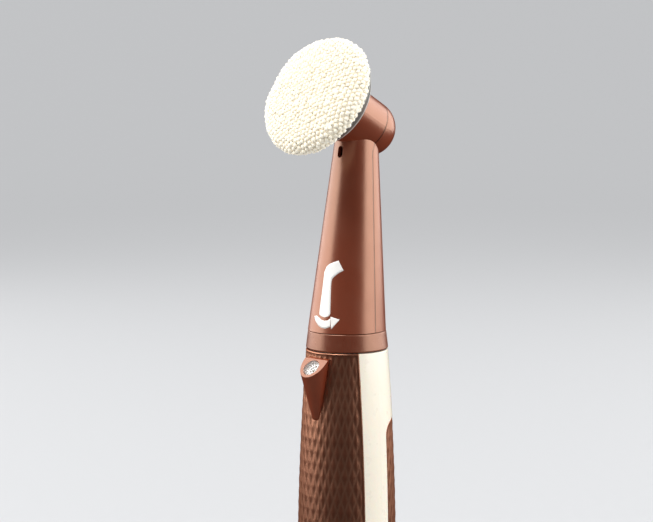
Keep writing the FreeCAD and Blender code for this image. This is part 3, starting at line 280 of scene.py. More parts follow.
def pearl_lacquer(name, colour):
    """Glossy pearl white: mica specks under a clear coat, with barely visible flow marks."""
    look = Finish(
        name, Coat_Weight=0.4, Coat_Roughness=0.12, Subsurface_Weight=0.12, Subsurface_Scale=0.0012
    )
    specks = look.spread(look.cells(0.11 * MM), 0, 1, 0.05, 0.6)
    cloud = look.spread(look.noise(11 * MM, 3), 0, 1)
    warm = look.blend(cloud, scaled(colour, 0.97), colour)
    look.colour(look.blend(specks, scaled(colour, 1.06), warm))
    look.roughness(look.spread(look.noise(2.5 * MM, 4), 0.26, 0.34))
    look.relief((look.noise(1.2 * MM, 2), 0.004 * MM))
    return look.done()


def terry_cloth(name, colour):
    """Looped cotton: each loop has its own tone, with twisted fibres along the yarn."""
    look = Finish(
        name, Subsurface_Weight=0.3, Subsurface_Scale=0.001, Subsurface_Radius=(1, 0.92, 0.84),
        Sheen_Weight=0.3, Sheen_Roughness=0.5,
    )
    tone = look.add("Attribute", attribute_name="tone").outputs["Fac"]
    fibres = look.noise(0.1 * MM, 4, (1, 1, 0.4))
    shade = look.sum(tone, look.spread(fibres, -0.1, 0.1))
    look.colour(look.blend(shade, scaled(colour, 0.86), scaled(colour, 1.05)))
    look.roughness(look.spread(fibres, 0.82, 0.96))
    look.relief((fibres, 0.03 * MM), (look.noise(0.35 * MM, 2), 0.04 * MM))
    return look.done()


def plate_silver(name, colour):
    """Satin silver turned on a lathe, with a painted highlight along the lip round its back edge."""
    look = Finish(name, Metallic=0.7)
    along = look.beyond(HEAD, FACING)
    back = axis_range("brush_plate")[0]
    # Painted highlight: a near-white band along the rounded lip at the back edge.
    painted_lip_highlight = look.spread(along, 1, 0, back + 1.5 * MM, back + 1.7 * MM)
    turning = look.add("Math", operation="SINE")
    look.feed(turning.inputs[0], look.sum(along, 2 * math.pi / (0.28 * MM), "MULTIPLY"))
    smear = look.spread(look.noise(2.5 * MM, 4), 0, 1)
    satin = look.blend(smear, scaled(colour, 0.88), colour)
    look.colour(look.blend(painted_lip_highlight, satin, (0.86, 0.83, 0.79)))
    look.roughness(look.spread(look.noise(0.5 * MM, 4), 0.34, 0.46))
    look.relief((turning.outputs[0], 0.006 * MM))
    return look.done()


def clear_plastic(name, colour, roughness, transmission):
    """See-through moulding, slightly smeared, that lets part of the light straight in."""
    look = Finish(
        name, Transmission_Weight=transmission, IOR=1.49, Coat_Weight=0.3, Coat_Roughness=0.02, Alpha=0.4
    )
    smear = look.noise(1.8 * MM, 4)
    look.colour(look.blend(look.spread(smear, 0, 1), scaled(colour, 0.97), colour))
    look.roughness(look.spread(smear, roughness, roughness + 0.05))
    look.relief((look.noise(2.2 * MM, 2), 0.004 * MM))
    return look.done()


def reflector(name, colour):
    """White-metallised plastic with small facets, as in a lamp's cup."""
    look = Finish(name, Metallic=0.1)
    facets = look.cells(0.7 * MM)
    look.colour(look.blend(look.spread(facets, 0, 1, 0, 0.7), colour, scaled(colour, 0.9)))
    look.roughness(look.spread(look.noise(0.6 * MM, 4), 0.2, 0.3))
    look.relief((facets, 0.04 * MM))
    return look.done()


def diode(name, colour):
    """The dark body of an unlit diode under a glossy coat."""
    look = Finish(name, Coat_Weight=1.0, Coat_Roughness=0.05)
    grain = look.noise(0.08 * MM, 4)
    look.colour(look.blend(look.spread(grain, 0, 1), scaled(colour, 0.1), scaled(colour, 0.25)))
    look.roughness(look.spread(grain, 0.3, 0.5))
    look.relief((grain, 0.01 * MM))
    return look.done()


def winding(name, colour):
    """Enamelled wire in close turns."""
    look = Finish(name, Metallic=0.9, Coat_Weight=0.6, Coat_Roughness=0.1)
    turns = look.bands(0.4 * MM)
    # Painted shade: the colour falls to about a third in the troughs between the turns.
    look.colour(look.blend(turns, scaled(colour, 0.35), scaled(colour, 1.1)))
    look.roughness(look.spread(look.noise(1 * MM, 3), 0.22, 0.34))
    look.relief((turns, 0.15 * MM))
    return look.done()


def solder_mask(name, colour):
    """Lacquered board with copper tracks under the mask."""
    look = Finish(name, Coat_Weight=0.5, Coat_Roughness=0.12)
    tracks = look.cells(2.6 * MM, "DISTANCE_TO_EDGE")
    edge = look.spread(tracks, 1, 0, 0.05, 0.09)
    look.colour(look.blend(edge, colour, scaled(colour, 1.9)))
    look.roughness(look.spread(look.noise(0.5 * MM, 3), 0.3, 0.42))
    look.relief((edge, 0.03 * MM))
    return look.done()


def hook_tape(name, colour):
    """Nylon tape with rows of tiny hooks."""
    look = Finish(name, Sheen_Weight=0.2)
    hooks = look.cells(0.55 * MM)
    look.colour(look.blend(look.spread(hooks, 0, 1, 0.1, 0.6), scaled(colour, 1.1), scaled(colour, 0.7)))
    look.roughness(look.spread(look.noise(0.2 * MM, 3), 0.6, 0.85))
    look.relief((hooks, 0.3 * MM))
    return look.done()


def printed(name, colour):
    """Pad-printed ink, slightly uneven."""
    look = Finish(name)
    grain = look.noise(0.18 * MM, 4)
    look.colour(look.blend(look.spread(grain, 0, 1), scaled(colour, 0.95), colour))
    look.roughness(look.spread(grain, 0.4, 0.55))
    look.relief((grain, 0.004 * MM))
    return look.done()


def make_finishes():
    """One material for each slot of the record, by the slot's name."""
    packed = {m["slot"]: tuple(m["base_color"][:3]) for m in frame["record"]["materials"]}
    bronze = (0.145, 0.022, 0.007)
    made = {
        "bronze_shell": bronze_paint("satin_bronze", bronze, 0.31, seam=True),
        "bronze_grip": bronze_paint(
            "soft_bronze", scaled(bronze, 0.42), 0.34, ior=2.8, tint=(1.0, 0.48, 0.3, 1)
        ),
        "bronze_ring": bronze_paint("brushed_bronze", scaled(bronze, 0.75), 0.34, streak=(1, 1, 0.04)),
        "pearl_shell": pearl_lacquer("pearl_white", (0.78, 0.72, 0.6)),
        "pearl_base": pearl_lacquer("pearl_foot", (0.87, 0.84, 0.75)),
        "button_cap": pearl_lacquer("pearl_button", (0.88, 0.85, 0.77)),
        # The silver is painted dark grey, standing in for the dark surroundings its satin face reflects.
        "silver_plate": plate_silver("satin_silver", (0.27, 0.265, 0.24)),
        "cream_terry": terry_cloth("cream_terry", (0.945, 0.855, 0.69)),
        "hook_tape": hook_tape("hook_tape", packed["hook_tape"]),
        "clear_lens": clear_plastic("clear_lens", (1.0, 0.985, 0.96), 0.03, 1.0),
        "indicator_lens": clear_plastic("frosted_guide", (0.93, 0.93, 0.9), 0.4, 0.6),
        "lamp_chrome": reflector("faceted_reflector", (0.96, 0.94, 0.91)),
        "bright_trim": brushed("bright_trim", packed["bright_trim"], 0.16, (1, 0.06, 1)),
        "led_body": diode("diode", packed["led_body"]),
        "copper_coil": winding("copper_winding", packed["copper_coil"]),
        "circuit_board": solder_mask("solder_mask", packed["circuit_board"]),
        "steel": brushed("turned_steel", packed["steel"], 0.3, (1, 1, 0.05)),
        "nickel": brushed("nickel_strip", packed["nickel"], 0.26, (0.05, 1, 1)),
        "motor_case": brushed("plated_can", packed["motor_case"], 0.32, (1, 1, 0.08), Metallic=0.9),
        "bronze_bush": moulded(
            "sintered_bronze", packed["bronze_bush"], 0.42, 0.1, 0.01, 0.12, Metallic=1.0
        ),
        "battery_sleeve": moulded("shrink_sleeve", packed["battery_sleeve"], 0.4, 0.3, 0.008, 0.1),
        "chip_black": moulded("chip_epoxy", packed["chip_black"], 0.55, 0.12, 0.006, 0.2),
        "switch_body": moulded("switch_moulding", packed["switch_body"], 0.5, 0.15, 0.006, 0.12),
        "chassis_white": moulded("chassis_plastic", packed["chassis_white"], 0.5, 0.3, 0.008, 0.04),
        "acetal_white": moulded("white_acetal", packed["acetal_white"], 0.38, 0.4, 0.004, 0.03),
        "acetal_black": moulded("black_acetal", packed["acetal_black"], 0.4, 0.35, 0.004, 0.12),
        "black_rubber": moulded("soft_rubber", packed["black_rubber"], 0.75, 0.18, 0.015, 0.15),
    }
    return made


# ---- Reading the CAD ----


def surface(node):
    mesh = CAD[node].data
    return BVHTree.FromPolygons([v.co for v in mesh.vertices], [p.vertices for p in mesh.polygons])


def axis_range(node):
    """Where a piece of the head starts and ends along the spindle's axis."""
    along = [(v.co - HEAD).dot(FACING) for v in CAD[node].data.vertices]
    return min(along), max(along)


def add_piece(name, mesh, body, finish):
    piece = bpy.data.objects.new(name, mesh)
    bpy.context.scene.collection.objects.link(piece)
    mesh.materials.clear()
    mesh.materials.append(finish)
    mesh.polygons.foreach_set("use_smooth", [True] * len(mesh.polygons))
    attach(piece, body)
    return piece


def mesh_of(bm, name):
    mesh = bpy.data.meshes.new(name)
    bm.to_mesh(mesh)
    bm.free()
    return mesh


def thicken(bm, inward, depth):
    """Turns a sheet's borders down into what lies below it."""
    rim = [e for e in bm.edges if e.is_boundary]
    made = bmesh.ops.extrude_edge_only(bm, edges=rim)
    for vert in (v for v in made["geom"] if isinstance(v, bmesh.types.BMVert)):
        vert.co += inward(vert.co) * depth


def smoothstep(value, start, end):
    share = np.clip((value - start) / (end - start), 0, 1)
    return share * share * (3 - 2 * share)


# ---- Diamond grips ----

DIAMONDS_ROUND = 39
DIAMOND_PITCH = 2 * math.pi / DIAMONDS_ROUND
DIAMOND_HEIGHT = 8.8 * MM
DIAMOND_RELIEF = 0.24 * MM
COLUMNS_PER_DIAMOND = 8
ROWS_PER_DIAMOND = 14
GROOVE_ROUND = 0.004
GROOVE_FLOOR = 0.06
PLAIN_BORDER = 0.45 * MM
FULL_RELIEF = 1.25 * MM
BORDER_CUTS = (0.12 * MM, 0.3 * MM, 0.55 * MM)
BORDER_CUT_REACH = 1.3 * MM
EDGE_ROUND = 0.32 * MM
GRIP_DEPTH = 0.95 * MM
GRIP_CORNER = 6 * MM
CORNER_CUTS = 6
BACK_TOP_CORNER = 5.5 * MM
BACK_TOP_RISE = math.radians(20)
PROFILE_BEARING = math.radians(50)
PROFILE_MARGIN = 0.7 * MM
PROFILE_HEIGHTS = 90


def handle_profile():
    """Heights and radii of the handle's outside, read from the front grip beside the lamp."""
    skin = surface("front_grip")
    low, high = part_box("front_grip")
    side = Vector((-math.sin(PROFILE_BEARING), -math.cos(PROFILE_BEARING), 0))
    heights, radii = [], []
    for height in np.linspace(low.z + PROFILE_MARGIN, high.z - PROFILE_MARGIN, PROFILE_HEIGHTS):
        hit = skin.ray_cast(side * OUTSIDE + UP * height, -side)[0]
        if hit:
            heights.append(height)
            radii.append(math.hypot(hit.x, hit.y))
    return heights, radii


def corner_planes(centre, radius, start, end):
    """Planes that round a corner off, as pairs of a point and an outward direction in YZ."""
    angles = np.radians(np.linspace(start, end, CORNER_CUTS + 2)[1:-1])
    return [
        (Vector((0, centre[0] + radius * math.cos(a), centre[1] + radius * math.sin(a))),
         Vector((0, math.cos(a), math.sin(a))))
        for a in angles
    ]


def front_outline():
    low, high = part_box("front_grip")
    edge = high.y
    return [
        (Vector((0, edge, 0)), Vector((0, 1, 0))),
        (Vector((0, 0, low.z)), Vector((0, 0, -1))),
        (Vector((0, 0, high.z)), Vector((0, 0, 1))),
    ] + corner_planes((edge - GRIP_CORNER, low.z + GRIP_CORNER), GRIP_CORNER, -90, 0)


def back_outline(profile):
    low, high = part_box("back_grip")
    edge = low.y
    slope = math.tan(BACK_TOP_RISE)
    edge_top = high.z - (float(np.interp(high.z, *profile)) - edge) * slope
    rounding = BACK_TOP_CORNER
    corner_drop = rounding * (1 - math.sin(BACK_TOP_RISE)) / math.cos(BACK_TOP_RISE)
    return [
        (Vector((0, edge, 0)), Vector((0, -1, 0))),
        (Vector((0, 0, low.z)), Vector((0, 0, -1))),
        (Vector((0, edge, edge_top)), Vector((0, -math.sin(BACK_TOP_RISE), math.cos(BACK_TOP_RISE)))),
    ] + corner_planes((edge + GRIP_CORNER, low.z + GRIP_CORNER), GRIP_CORNER, 180, 270) + corner_planes(
        (edge + rounding, edge_top - corner_drop), rounding, 180, 90 + math.degrees(BACK_TOP_RISE)
    )


def trim(bm, point, direction, clear, reach=None):
    """Cuts a mesh along a plane; reach limits the cut to what lies near it."""
    faces = bm.faces[:]
    if reach is not None:
        faces = [f for f in faces if abs((f.calc_center_median() - point).dot(direction)) < reach]
    edges = {e for f in faces for e in f.edges}
    verts = {v for f in faces for v in f.verts}
    bmesh.ops.bisect_plane(
        bm, geom=[*verts, *edges, *faces], dist=1e-7, plane_co=point, plane_no=direction, clear_outer=clear
    )


def grip_sheet(node, centre_angle, half_angle, outline, profile):
    """A smooth sheet on the handle's outside, cut to the grip's outline."""
    step = DIAMOND_PITCH / COLUMNS_PER_DIAMOND
    first = math.floor((centre_angle - half_angle) / step)
    angles = np.arange(first, math.ceil((centre_angle + half_angle) / step) + 1) * step
    rise = DIAMOND_HEIGHT / ROWS_PER_DIAMOND
    low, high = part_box(node)
    heights = np.arange(math.floor(low.z / rise) - 1, math.ceil(high.z / rise) + 2) * rise
    turn, height = np.meshgrid(angles, heights)
    radius = np.interp(height, *profile)
    points = np.stack([radius * np.sin(turn), -radius * np.cos(turn), height], -1).reshape(-1, 3)
    across = len(angles)
    bm = bmesh.new()
    verts = [bm.verts.new(p) for p in points]
    for row in range(len(heights) - 1):
        for column in range(across - 1):
            at = row * across + column
            bm.faces.new((verts[at], verts[at + 1], verts[at + across + 1], verts[at + across]))
    for point, direction in outline:
        trim(bm, point, direction, True)
    for inset in BORDER_CUTS:
        for point, direction in outline:
            trim(bm, point - direction * inset, direction, False, BORDER_CUT_REACH)
    return bm


def border_distance(place, turn, outline, holes):
    """How far each place of a sheet lies inside its outline and outside its holes."""
    border = np.full(len(place), 1.0)
    for point, direction in outline:
        inside = -((place - np.array(point)) @ np.array(direction))
        slope = np.sqrt((direction.y * np.sin(turn)) ** 2 + direction.z ** 2)
        border = np.minimum(border, inside / np.maximum(slope, 0.2))
    for hole, hole_radius in holes:
        border = np.minimum(border, np.hypot(place[:, 0] - hole.x, place[:, 2] - hole.z) - hole_radius)
    return border


def press_diamonds(bm, outline, holes):
    """Sinks the grooves between the diamonds, and rolls the sheet's border over."""
    place = np.array([v.co for v in bm.verts])
    turn = np.arctan2(place[:, 0], -place[:, 1])
    height = place[:, 2]
    border = border_distance(place, turn, outline, holes)
    rising = turn / DIAMOND_PITCH + height / DIAMOND_HEIGHT
    falling = turn / DIAMOND_PITCH - height / DIAMOND_HEIGHT
    valley = np.maximum(np.abs(rising % 1 - 0.5), np.abs(falling % 1 - 0.5)) * 2
    valley = 1 - np.sqrt((1 - valley) ** 2 + GROOVE_ROUND) + GROOVE_FLOOR
    relief = smoothstep(border, PLAIN_BORDER, FULL_RELIEF)
    depth = DIAMOND_RELIEF * np.clip(valley, 0, 1) * relief
    near = np.clip(EDGE_ROUND - border, 0, EDGE_ROUND)
    depth += EDGE_ROUND - np.sqrt(EDGE_ROUND ** 2 - near ** 2)
    outward = np.stack([np.sin(turn), -np.cos(turn), np.zeros(len(turn))], -1)
    place -= outward * depth[:, None]
    # Each vertex keeps how deep in a groove it lies; the grip's paint uses this for painted shade.
    painted_groove_shade = bm.verts.layers.float.new("painted_groove_shade")
    for vert, co, share in zip(bm.verts, place, smoothstep(valley, 0.6, 1) * relief):
        vert.co = co
        vert[painted_groove_shade] = share


def open_sheet(bm, holes):
    """Removes the faces that lie under the lamp's pod or in a hole."""
    pod = surface("lamp_housing")
    remove = []
    for face in bm.faces:
        middle = face.calc_center_median()
        out = Vector((middle.x, middle.y, 0)).normalized()
        own = math.hypot(middle.x, middle.y)
        hit = pod.ray_cast(middle + out * OUTSIDE, -out, OUTSIDE)[0]
        covered = hit is not None and math.hypot(hit.x, hit.y) > own + 0.35 * MM
        for hole, hole_radius in holes:
            covered |= math.hypot(middle.x - hole.x, middle.z - hole.z) < hole_radius - 0.25 * MM
        if covered:
            remove.append(face)
    bmesh.ops.delete(bm, geom=remove, context="FACES")


def diamond_grip(name, node, centre_angle, half_angle, outline, profile, finish, holes=()):
    """A grip's skin of raised diamonds, with a plain rolled border."""
    bm = grip_sheet(node, centre_angle, half_angle, outline, profile)
    press_diamonds(bm, outline, holes)
    open_sheet(bm, holes)
    thicken(bm, lambda co: -Vector((co.x, co.y, 0)).normalized(), GRIP_DEPTH - EDGE_ROUND)
    bmesh.ops.recalc_face_normals(bm, faces=bm.faces[:])
    piece = add_piece(name, mesh_of(bm, name), "handle", finish)
    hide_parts(node)


# ---- Printed marks ----

MARK_BEARING = math.radians(8)
MARK_RADIUS = 13 * MM
MARK_PROUD = 0.03 * MM
SYMBOL_PROUD = 0.02 * MM
SYMBOL_RADIUS = 1.95
SYMBOL_INSIDE = 1.4
SYMBOL_ARC = np.radians(np.linspace(122, 418, 40))
SYMBOL_BAR = 0.27
BAR_TOP = 2.35
BAR_FOOT = 0.15


def ribbon(bm, lefts, rights, columns, steps, project):
    """A strip between two polylines of as many points, laid on a surface."""
    count = len(lefts)
    share = np.linspace(0, count - 1, steps)
    left = np.stack([np.interp(share, range(count), [p[i] for p in lefts]) for i in (0, 1)], -1)
    right = np.stack([np.interp(share, range(count), [p[i] for p in rights]) for i in (0, 1)], -1)
    rows = []
    for a, b in zip(left, right):
        rows.append([bm.verts.new(project(*(a + (b - a) * t))) for t in np.linspace(0, 1, columns)])
    for first, second in zip(rows, rows[1:]):
        for i in range(columns - 1):
            bm.faces.new((first[i], first[i + 1], second[i + 1], second[i]))


def broken_ring(radius):
    """A circle that is open at the top."""
    return [(radius * math.cos(a), radius * math.sin(a)) for a in SYMBOL_ARC]


def twist_mark(finish):
    """A plain picture of the attachment over a curved arrow: turn this way to lock."""
    skin = surface("neck_front_shell")
    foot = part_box("neck_front_shell")[0].z

    def project(arc, rise):
        turn = MARK_BEARING + arc * MM / MARK_RADIUS
        out = Vector((math.sin(turn), -math.cos(turn), 0))
        hit = skin.ray_cast(out * OUTSIDE + UP * (foot + rise * MM), -out)[0]
        return hit + out * MARK_PROUD

    def inward(co):
        return -Vector((co.x, co.y, 0)).normalized()

    bm = bmesh.new()
    stem_left = [
        (-0.3, 5.93), (-1.99, 6.21), (-2.75, 6.6), (-2.97, 7.2), (-2.98, 11.9), (-2.9, 16.3), (-2.97, 20.2),
        (-2.95, 22.5), (-2.04, 24.4), (-0.5, 25.5), (2.06, 26.4), (4.17, 27.0),
    ]
    stem_right = [
        (-0.2, 5.93), (1.24, 6.35), (1.8, 6.9), (1.96, 7.4), (1.66, 12.8), (1.38, 17.5), (1.42, 19.2),
        (1.6, 20.0), (2.1, 20.6), (2.9, 21.3), (4.69, 22.5), (6.62, 23.4),
    ]
    ribbon(bm, stem_left, stem_right, 7, 67, project)
    curl_outside = [(-5.7, 5.8), (-4.8, 4.3), (-2.85, 2.7), (-1.2, 1.95), (0.5, 1.83), (2.3, 2.6)]
    curl_inside = [(-4.4, 6.15), (-3.1, 5.7), (-1.6, 4.9), (-0.2, 4.65), (1.1, 4.85), (2.2, 5.7)]
    ribbon(bm, curl_outside, curl_inside, 5, 36, project)
    ribbon(bm, [(2.2, 6.3), (5.5, 5.45)], [(2.7, 1.75), (5.55, 5.4)], 6, 12, project)
    thicken(bm, inward, 2 * MARK_PROUD)
    bmesh.ops.recalc_face_normals(bm, faces=bm.faces[:])
    add_piece("twist_mark", mesh_of(bm, "twist_mark"), "attachment", finish)


def power_mark(finish):
    """The usual broken ring and bar, printed on the button."""
    skin = surface("power_button")
    low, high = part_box("power_button")
    centre = (low + high) / 2

    def project(x, z):
        hit = skin.ray_cast(Vector((centre.x - x * MM, OUTSIDE, centre.z + z * MM)), Vector((0, -1, 0)))[0]
        return hit + Vector((0, SYMBOL_PROUD, 0))

    bm = bmesh.new()
    ribbon(bm, broken_ring(SYMBOL_RADIUS), broken_ring(SYMBOL_INSIDE), 4, 60, project)
    bar_left, bar_right = ([(x, BAR_TOP), (x, BAR_FOOT)] for x in (-SYMBOL_BAR, SYMBOL_BAR))
    ribbon(bm, bar_left, bar_right, 4, 12, project)
    thicken(bm, lambda co: Vector((0, -1, 0)), 3 * SYMBOL_PROUD)
    bmesh.ops.recalc_face_normals(bm, faces=bm.faces[:])
    add_piece("power_mark", mesh_of(bm, "power_mark"), "button", finish)


# ---- Terry pad ----

SWELL_SCALE = 10
SWELL_VOXEL = 1.1 * MM
SWELL_START = 0.3 * MM
SWELL_CAP = 0.8 * MM
SWELL_PRESSURE = 4
SWELL_QUALITY = 6
SWELL_FRAMES = 20
LOOP_SPACING = 1.75 * MM
LOOP_HEIGHT = 0.76 * MM
YARN_RADIUS = 0.64 * MM
PAD_WIDENING = 1.015
DOME_FLATTENING = 0.8
HEM_LIFT = 0.6
HEM_HEIGHT = 2.1 * MM
RIM_SHARE = 0.38
RUNS = 48
RUN_TILTS = np.radians(np.linspace(90, -24, 70))
PAD_OFFSET = Vector((-0.7, 0, 0)) * MM - HEAD_UP * 1.35 * MM
PAD_SEED = 41
PAD_REACH = 40 * MM
SEAT_CLEARANCE = 0.72 * LOOP_SPACING


def pad_foam():
    """The pad's stuffing, swollen by a cloth simulation against its cover."""
    mesh = CAD["cleansing_pad"].data.copy()
    mesh.transform(Matrix.Scale(SWELL_SCALE, 4))
    body = bpy.data.objects.new("pad_foam", mesh)
    bpy.context.scene.collection.objects.link(body)
    remesh = body.modifiers.new("voxels", "REMESH")
    remesh.mode = "VOXEL"
    remesh.voxel_size = SWELL_VOXEL * SWELL_SCALE
    bpy.context.view_layer.update()
    graph = bpy.context.evaluated_depsgraph_get()
    start = bpy.data.meshes.new_from_object(body.evaluated_get(graph))
    normals = np.array([v.normal for v in start.vertices])
    rest = np.array([v.co for v in start.vertices]) - normals * SWELL_START * SWELL_SCALE
    start.vertices.foreach_set("co", rest.astype(np.float32).ravel())
    body.modifiers.clear()
    body.data = start
    cloth = body.modifiers.new("swell", "CLOTH")
    cloth.settings.use_pressure = True
    cloth.settings.uniform_pressure_force = SWELL_PRESSURE
    cloth.settings.quality = SWELL_QUALITY
    cloth.settings.effector_weights.gravity = 0
    scene = bpy.context.scene
    for step in range(SWELL_FRAMES):
        scene.frame_set(step + 1)
    graph = bpy.context.evaluated_depsgraph_get()
    swollen = bpy.data.meshes.new_from_object(body.evaluated_get(graph))
    moved = np.array([v.co for v in swollen.vertices]) - rest
    scene.frame_set(1)
    length = np.linalg.norm(moved, axis=1, keepdims=True)
    cap = SWELL_CAP * SWELL_SCALE
    rest = rest + moved * np.minimum(1, cap / np.maximum(length, 1e-9))
    body.modifiers.clear()
    start.vertices.foreach_set("co", rest.astype(np.float32).ravel())
    start.transform(Matrix.Scale(1 / SWELL_SCALE, 4))
    bm = bmesh.new()
    bm.from_mesh(start)
    bmesh.ops.smooth_vert(
        bm, verts=bm.verts[:], factor=0.5, use_axis_x=True, use_axis_y=True, use_axis_z=True
    )
    bpy.data.objects.remove(body)
    return bm


def loop_shape(chance, seat, out, row):
    """The points and faces of one standing yarn loop."""
    across = row.cross(out).normalized()
    width = LOOP_SPACING * chance.uniform(0.2, 0.32)
    tall = LOOP_HEIGHT * chance.uniform(0.8, 1.2)
    yarn = YARN_RADIUS * chance.uniform(0.9, 1.15)
    lean = across * chance.uniform(-0.35, 0.35) + row * chance.uniform(-0.25, 0.25)
    bends, sides = 7, 6
    points, faces = [], []
    for i in range(bends):
        a = math.pi * i / (bends - 1)
        rise = math.sin(a) * tall - 0.75 * yarn
        core = seat - row * math.cos(a) * width + (out + lean * 0.6 * math.sin(a)) * rise
        tangent = (row * math.sin(a) * width + out * math.cos(a) * tall).normalized()
        side = across
        cap = tangent.cross(side).normalized()
        thick = yarn * (0.72 + 0.34 * math.sin(a))
        for k in range(sides):
            b = 2 * math.pi * k / sides + 0.5 * i
            wobble = 1 + chance.uniform(-0.1, 0.1)
            points.append(core + (side * math.cos(b) * 1.32 + cap * math.sin(b)) * thick * wobble)
    for i in range(bends - 1):
        for k in range(sides):
            a, b = i * sides + k, i * sides + (k + 1) % sides
            faces.append((a, b, b + sides, a + sides))
    return points, faces


def split_offset(point):
    """How far a point lies along the head's axis, and its offset square to it."""
    offset = point - HEAD
    height = offset.dot(FACING)
    return height, offset - FACING * height


def shape_foam(bm, rim):
    """Flattens the dome, widens the pad and lifts the hem where it overhangs the plate."""
    plate_edge = max(split_offset(v.co)[1].length for v in CAD["brush_plate"].data.vertices)
    for vert in bm.verts:
        height, sideways = split_offset(vert.co)
        if height > rim:
            height = rim + (height - rim) * DOME_FLATTENING
        elif sideways.length > plate_edge:
            height = rim + (height - rim) * HEM_LIFT
        vert.co = HEAD + FACING * height + sideways * PAD_WIDENING
    bm.normal_update()


def foam_run(foam, rim, hem, turn):
    """A run along the foam from crown to hem, in one direction: distances and points."""
    hub = HEAD + FACING * rim
    out = UPWARD * math.cos(turn) + SIDEWAYS * math.sin(turn)
    points = []
    for tilt in RUN_TILTS:
        hit = foam.ray_cast(hub, FACING * math.sin(tilt) + out * math.cos(tilt))[0]
        if hit and (hit - HEAD).dot(FACING) > hem:
            points.append(hit)
    run = np.concatenate([[0], np.cumsum([(b - a).length for a, b in zip(points, points[1:])])])
    return run, np.array(points)


def foam_spot(foam, runs, up, side):
    """The foam's place and normal at a distance up and sideways of the crown, along the surface."""
    far, turn = math.hypot(up, side), math.atan2(side, up)
    run, points = runs[round(turn / (2 * math.pi) * RUNS) % RUNS]
    if far > run[-1]:
        return None
    height, sideways = split_offset(Vector([np.interp(far, run, points[:, k]) for k in range(3)]))
    out = UPWARD * math.cos(turn) + SIDEWAYS * math.sin(turn)
    return foam.find_nearest(HEAD + FACING * height + out * sideways.length)[:2]


def claim(seat, taken):
    """Takes a loop's seat, unless another seat is too near."""
    cell = tuple(round(c / LOOP_SPACING) for c in seat)
    near = [
        other
        for shift in np.ndindex(3, 3, 3)
        for other in taken.get(tuple(c + s - 1 for c, s in zip(cell, shift)), ())
    ]
    if any((seat - other).length < SEAT_CLEARANCE for other in near):
        return False
    taken.setdefault(cell, []).append(seat)
    return True


def loop_seats(foam, rim, hem, chance):
    """Seats for the loops, in staggered rows measured along the foam."""
    runs = [foam_run(foam, rim, hem, 2 * math.pi * i / RUNS) for i in range(RUNS)]
    count = int(PAD_REACH / LOOP_SPACING)
    seats = []
    taken = {}
    for i in range(-count, count + 1):
        for j in range(-count, count + 1):
            up = (i + 0.5 * (j % 2) + chance.uniform(-0.16, 0.16)) * LOOP_SPACING
            side = (j * 0.94 + chance.uniform(-0.13, 0.13)) * LOOP_SPACING
            spot = foam_spot(foam, runs, up, side)
            if spot and claim(spot[0], taken):
                seats.append(spot)
    return seats


def add_loop(bm, tone, chance, seat, normal):
    """Adds one yarn loop, turned a little at random and with a tone of its own."""
    row_way = (UPWARD * 0.25 + SIDEWAYS).normalized()
    row = (row_way - normal * row_way.dot(normal)).normalized()
    row = Matrix.Rotation(chance.uniform(-0.4, 0.4), 3, normal) @ row
    points, faces = loop_shape(chance, seat, normal, row)
    shade = chance.uniform(0.78, 1.0)
    verts = []
    for point in points:
        vert = bm.verts.new(point)
        vert[tone] = shade
        verts.append(vert)
    for face in faces:
        bm.faces.new([verts[k] for k in face])


def terry_pad(finish):
    """The domed pad: swollen foam under rows of yarn loops that follow the dome to its hem."""
    bottom, top = axis_range("cleansing_pad")
    rim = bottom + RIM_SHARE * (top - bottom)
    bm = pad_foam()
    shape_foam(bm, rim)
    foam = BVHTree.FromBMesh(bm)
    chance = random.Random(PAD_SEED)
    seats = loop_seats(foam, rim, bottom + HEM_HEIGHT, chance)
    tone = bm.verts.layers.float.new("tone")
    for vert in bm.verts:
        vert[tone] = 1.0
    for seat, normal in seats:
        add_loop(bm, tone, chance, seat, normal)
    bmesh.ops.recalc_face_normals(bm, faces=bm.faces[:])
    bmesh.ops.translate(bm, verts=bm.verts[:], vec=PAD_OFFSET)
    piece = add_piece("terry_pad", mesh_of(bm, "terry_pad"), "brush", finish)
    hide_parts("cleansing_pad")


# ---- Stage ----

FLOOR_RADIUS = 2.4
SWEEP_RADIUS = 1.2
WALL_TOP = 4.0
STAGE_TURNS = 96


def make_stage():
    """A pale floor that sweeps up all round into a seamless pale wall."""
    curve = [
        (FLOOR_RADIUS + SWEEP_RADIUS * math.sin(a), SWEEP_RADIUS * (1 - math.cos(a)))
        for a in np.radians(range(0, 91, 6))
    ]
    curve.append((FLOOR_RADIUS + SWEEP_RADIUS, WALL_TOP))
    around = [2 * math.pi * i / STAGE_TURNS for i in range(STAGE_TURNS)]
    bm = bmesh.new()
    rings = [
        [bm.verts.new((radius * math.cos(a), radius * math.sin(a), height)) for a in around]
        for radius, height in curve
    ]
    bm.faces.new(rings[0])
    for low, high in zip(rings, rings[1:]):
        for i in range(STAGE_TURNS):
            bm.faces.new((low[i], low[(i + 1) % STAGE_TURNS], high[(i + 1) % STAGE_TURNS], high[i]))
    bmesh.ops.recalc_face_normals(bm, faces=bm.faces[:])
    mesh = mesh_of(bm, "studio_sweep")
    sweep_piece = bpy.data.objects.new("studio_sweep", mesh)
    bpy.context.scene.collection.objects.link(sweep_piece)
    mesh.polygons.foreach_set("use_smooth", [True] * len(mesh.polygons))
    paper = Finish("studio_paper", Emission_Color=(0.93, 0.94, 0.96, 1), Emission_Strength=0.5)
    grain = paper.noise(4 * MM, 3)
    paper.colour(paper.blend(paper.spread(grain, 0, 1), (0.165, 0.167, 0.17), (0.175, 0.177, 0.18)))
    paper.roughness(paper.spread(grain, 0.85, 0.95))
    mesh.materials.append(paper.done())
    sweep_piece.visible_glossy = False


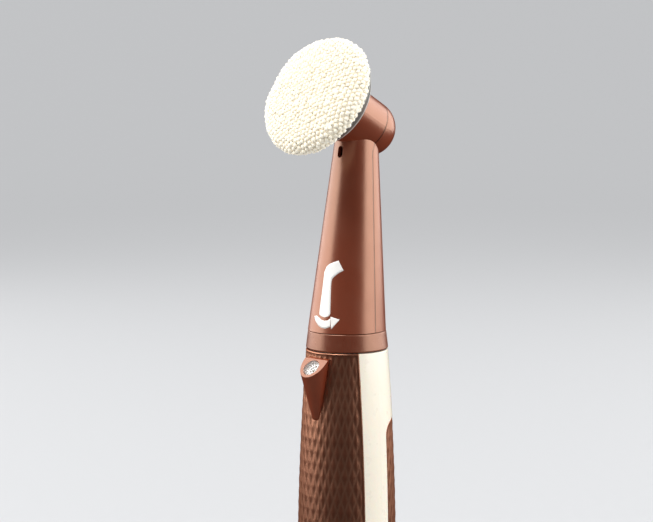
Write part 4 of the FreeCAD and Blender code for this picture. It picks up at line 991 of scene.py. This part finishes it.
def soft_box(name, bearing, height, reach, width, tall, power):
    """A rectangular softbox at a bearing from the camera's own, facing the neck."""
    light = bpy.data.lights.new(name, "AREA")
    light.shape = "RECTANGLE"
    light.size, light.size_y = width, tall
    light.energy = power
    lamp = bpy.data.objects.new(name, light)
    bpy.context.scene.collection.objects.link(lamp)
    a = math.radians(bearing)
    aim = Vector((0, 0, 0.15))
    lamp.location = (TOWARDS_CAMERA * math.cos(a) + TO_THE_RIGHT * math.sin(a)) * reach + UP * height
    lamp.rotation_mode = "QUATERNION"
    lamp.rotation_quaternion = (aim - lamp.location).to_track_quat("-Z", "Y")
    lamp.visible_camera = False


def make_lights():
    soft_box("left_box", -112, 0.55, 0.95, 1.7, 1.1, 16)
    soft_box("right_box", 96, 0.55, 0.85, 2.0, 1.1, 20)
    soft_box("top_box", -50, 1.05, 0.5, 0.6, 0.5, 9)
    world = bpy.data.worlds.new("studio_air")
    bpy.context.scene.world = world
    world.use_nodes = True
    background = world.node_tree.nodes["Background"]
    background.inputs["Color"].default_value = (0.9, 0.93, 1.0, 1)
    background.inputs["Strength"].default_value = 0.02


# ---- Assembly ----

FRONT_REACH = math.radians(70)
BACK_REACH = math.radians(86)
GUIDE_RADIUS = 1.2 * MM

finishes = make_finishes()
for part in frame["record"]["subparts"]:
    mesh = CAD[part["node"]].data
    mesh.materials.clear()
    mesh.materials.append(finishes[part["material_slot"]])

profile = handle_profile()
bezel_low, bezel_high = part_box("button_bezel")
guide_low, guide_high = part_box("indicator_lens")
back_holes = (
    ((bezel_low + bezel_high) / 2, (bezel_high.x - bezel_low.x) / 2),
    ((guide_low + guide_high) / 2, GUIDE_RADIUS),
)
diamond_grip(
    "diamond_grip_front", "front_grip", 0.0, FRONT_REACH, front_outline(), profile, finishes["bronze_grip"]
)
diamond_grip(
    "diamond_grip_back", "back_grip", math.pi, BACK_REACH, back_outline(profile), profile,
    finishes["bronze_grip"], back_holes,
)
twist_mark(printed("printed_ink", (0.8, 0.78, 0.74)))
power_mark(printed("printed_bronze", (0.13, 0.05, 0.03)))
terry_pad(finishes["cream_terry"])

make_stage()
make_lights()
make_camera()
bpy.context.scene.view_settings.view_transform = "Standard"
